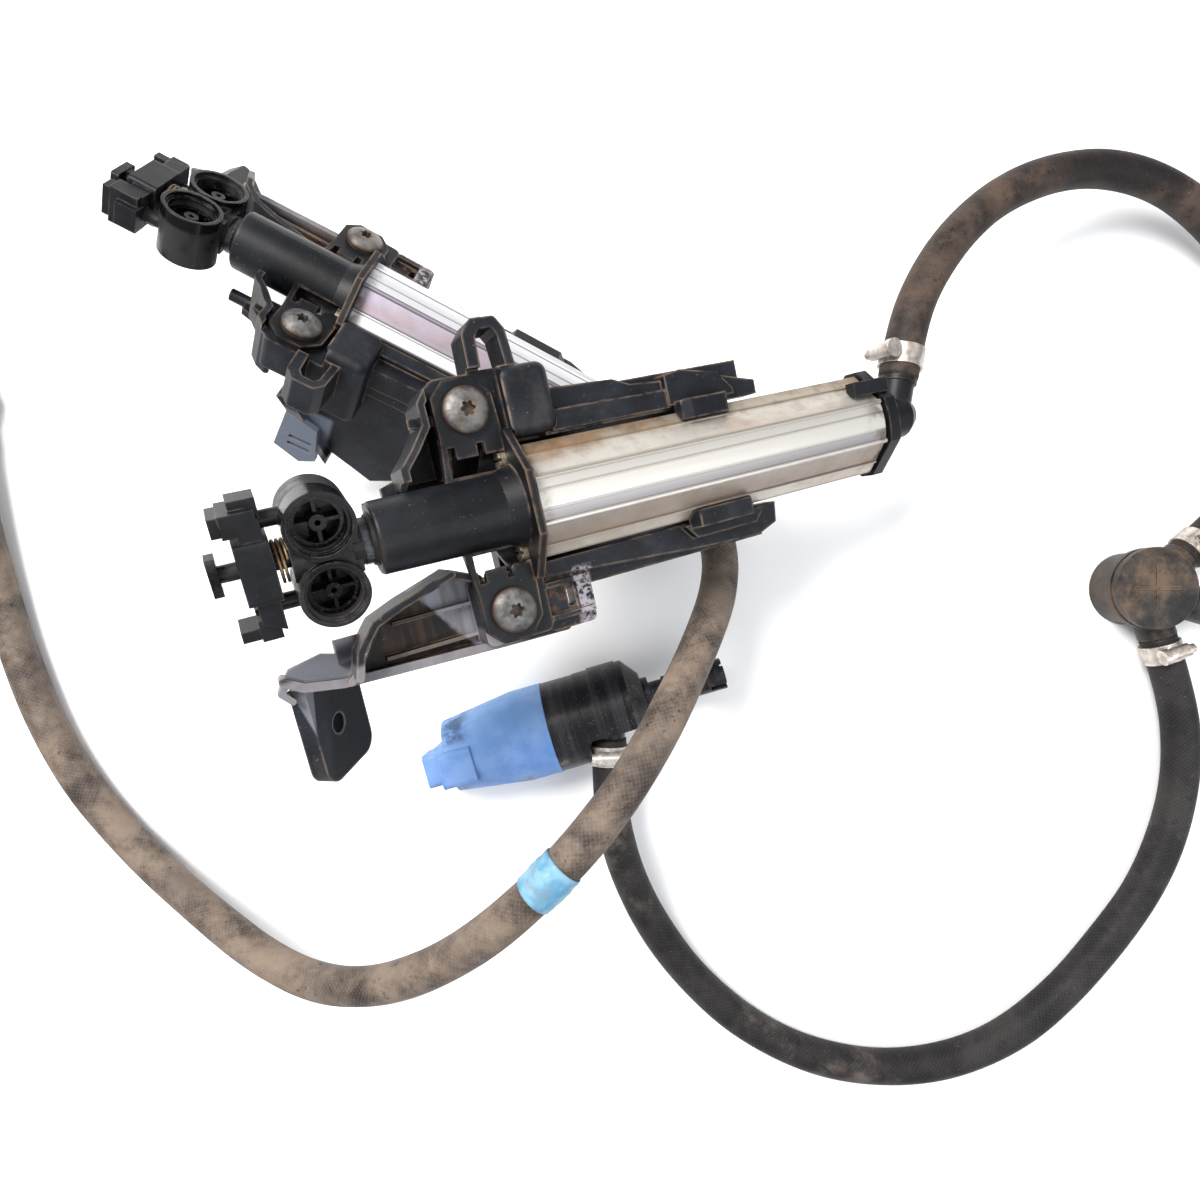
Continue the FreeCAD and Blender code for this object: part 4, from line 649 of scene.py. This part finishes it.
def sweep(name, points, profile, material, node):
    """A closed skin swept along points.

    Profile lists (station, radius) rows: the station is the index of a point, and rows follow the
    outside from start to end and come back down the bore.
    """
    directions = []
    for i in range(len(points)):
        directions.append((points[min(i + 1, len(points) - 1)] - points[max(i - 1, 0)]).normalized())
    side = directions[0].orthogonal().normalized()
    sides = []
    for direction in directions:
        side = (side - direction * side.dot(direction)).normalized()
        sides.append(side)
    along = [0.0]
    for a, b in zip(points, points[1:]):
        along.append(along[-1] + (b - a).length)
    vertices, faces, texture = [], [], []
    for station, radius in profile:
        other = directions[station].cross(sides[station])
        for k in range(RING_SIDES):
            angle = math.tau * k / RING_SIDES
            spoke = sides[station] * math.cos(angle) + other * math.sin(angle)
            vertices.append(points[station] + spoke * radius)
    for row in range(len(profile)):
        following = (row + 1) % len(profile)
        v0 = along[profile[row][0]] * 10
        v1 = along[profile[following][0]] * 10
        for k in range(RING_SIDES):
            after = (k + 1) % RING_SIDES
            faces.append((row * RING_SIDES + k, row * RING_SIDES + after,
                          following * RING_SIDES + after, following * RING_SIDES + k))
            u0, u1 = k / RING_SIDES, (k + 1) / RING_SIDES
            texture.extend([(u0, v0), (u1, v0), (u1, v1), (u0, v1)])
    mesh = bpy.data.meshes.new(name)
    mesh.from_pydata(vertices, [], faces)
    layer = mesh.uv_layers.new(name="along_hose")
    for loop, pair in zip(layer.data, texture):
        loop.uv = pair
    mesh.polygons.foreach_set("use_smooth", [True] * len(faces))
    mesh.materials.append(material)
    piece = bpy.data.objects.new(name, mesh)
    bpy.context.scene.collection.objects.link(piece)
    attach(piece, "root")
    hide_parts(node)
    return piece


def hose_profile(count, swell):
    """Outside from start to end with softened rims, then back down the bore.

    Swell sets where the small unevenness of the wall starts.
    """
    rows = [(0, HOSE_RADIUS - RIM_ROUNDING), (0, HOSE_RADIUS - RIM_ROUNDING / 6)]
    for i in range(1, count - 1):
        wave = math.sin(i * 0.21 + swell) + 0.6 * math.sin(i * 0.087 + 2 * swell)
        rows.append((i, HOSE_RADIUS + WALL_UNEVENNESS * wave))
    rows += [(count - 1, HOSE_RADIUS - RIM_ROUNDING / 6), (count - 1, HOSE_RADIUS - RIM_ROUNDING)]
    rows += [(i, HOSE_BORE) for i in range(count - 1, -1, -4)]
    if rows[-1][0]:
        rows.append((0, HOSE_BORE))
    return rows


def make_hose(name, route, material, swell):
    line = smooth_line(route)
    points = stretch_of(line, 0.0, line_length(line) - 1e-7, RING_SPACING)
    hose = sweep("rubber_" + name, points, hose_profile(len(points), swell), material, name)


def make_marker(line):
    """The wrapped band: tape with a doubled stretch in its middle and a slightly uneven surface."""
    start = BAND_DISTANCE - BAND_LENGTH / 2
    points = stretch_of(line, start, start + BAND_LENGTH, 0.001)
    last = len(points) - 1
    inner = HOSE_RADIUS + BAND_CLEARANCE
    rows = [(0, inner + 0.0003)]
    for i in range(1, last):
        overlap = BAND_OVERLAP if 5 <= i <= 10 else 0.0
        rows.append((i, inner + BAND_THICKNESS + overlap + 0.00008 * math.sin(i * 1.7)))
    rows += [(last, inner + 0.0003)] + [(i, inner) for i in range(last, -1, -1)]
    return sweep("marker_tape", points, rows, marker_tape("marker_tape"), "marker_band")


def make_hoses():
    brown = hose_rubber("hose_rubber_a", srgb(24, 21, 21), srgb(46, 39, 36),
                        srgb(92, 76, 66), 0.47, 0.10)
    dusty = hose_rubber("hose_rubber_b", srgb(44, 38, 36), srgb(98, 87, 79),
                        srgb(138, 122, 108), 0.41, 0.22)
    black = hose_rubber("hose_rubber_c", srgb(20, 19, 21), srgb(42, 39, 40),
                        srgb(108, 98, 90), 0.56, 0.09)
    marker = make_marker(smooth_line(HOSE_B_ROUTE))
    make_hose("hose_a", HOSE_A_ROUTE, brown, 0.4)
    make_hose("hose_b", HOSE_B_ROUTE, dusty, 1.1)
    make_hose("hose_c", HOSE_C_ROUTE, black, 1.9)


# ---------------------------------------------------------------- floor and light
def make_floor():
    mesh = bpy.data.meshes.new("floor")
    signs = ((-1, -1), (1, -1), (1, 1), (-1, 1))
    corners = [(x * FLOOR_HALF, y * FLOOR_HALF, FLOOR_HEIGHT) for x, y in signs]
    mesh.from_pydata(corners, [], [(0, 1, 2, 3)])
    s = Shader("floor_white")
    mesh.materials.append(s.finish(s.mix(s.noise(3, 2), srgb(246, 246, 247), srgb(250, 250, 250)), 0.9))
    floor = bpy.data.objects.new("floor", mesh)
    bpy.context.scene.collection.objects.link(floor)


def make_light(name, place, size, power, colour):
    data = bpy.data.lights.new(name, "AREA")
    data.shape = "DISK"
    data.size = size
    data.energy = power
    data.color = colour
    light = bpy.data.objects.new(name, data)
    light.location = metres(place)
    aim = metres(LIGHT_TARGET) - light.location
    light.rotation_euler = aim.to_track_quat("-Z", "Y").to_euler()
    bpy.context.scene.collection.objects.link(light)


def make_world():
    """A soft sky, brightest overhead and on one side."""
    world = bpy.data.worlds.new("studio")
    world.use_nodes = True
    tree = world.node_tree
    background = tree.nodes["Background"]
    coords = tree.nodes.new("ShaderNodeTexCoord")
    split = tree.nodes.new("ShaderNodeSeparateXYZ")
    tree.links.new(coords.outputs["Generated"], split.inputs[0])
    height = tree.nodes.new("ShaderNodeValToRGB")
    tree.links.new(split.outputs[2], height.inputs[0])
    height.color_ramp.elements[0].color = (0.24, 0.26, 0.30, 1.0)
    height.color_ramp.elements[1].position = 0.7
    height.color_ramp.elements[1].color = (1.0, 1.0, 1.0, 1.0)
    sideways = tree.nodes.new("ShaderNodeValToRGB")
    tree.links.new(split.outputs[0], sideways.inputs[0])
    sideways.color_ramp.elements[0].position = 0.15
    sideways.color_ramp.elements[0].color = (1.0, 1.0, 1.0, 1.0)
    sideways.color_ramp.elements[1].position = 0.75
    sideways.color_ramp.elements[1].color = (0.42, 0.43, 0.46, 1.0)
    product = tree.nodes.new("ShaderNodeMix")
    product.data_type = "RGBA"
    product.blend_type = "MULTIPLY"
    product.inputs[0].default_value = 1.0
    tree.links.new(height.outputs[0], product.inputs[6])
    tree.links.new(sideways.outputs[0], product.inputs[7])
    tree.links.new(product.outputs[2], background.inputs["Color"])
    background.inputs["Strength"].default_value = 1.0
    bpy.context.scene.world = world


def make_stage():
    make_floor()
    make_world()
    make_light(*KEY_LIGHT)
    make_light(*FILL_LIGHT)
    bpy.context.scene.view_settings.view_transform = "Standard"


make_camera()
make_hoses()
paint_cad()
make_stage()
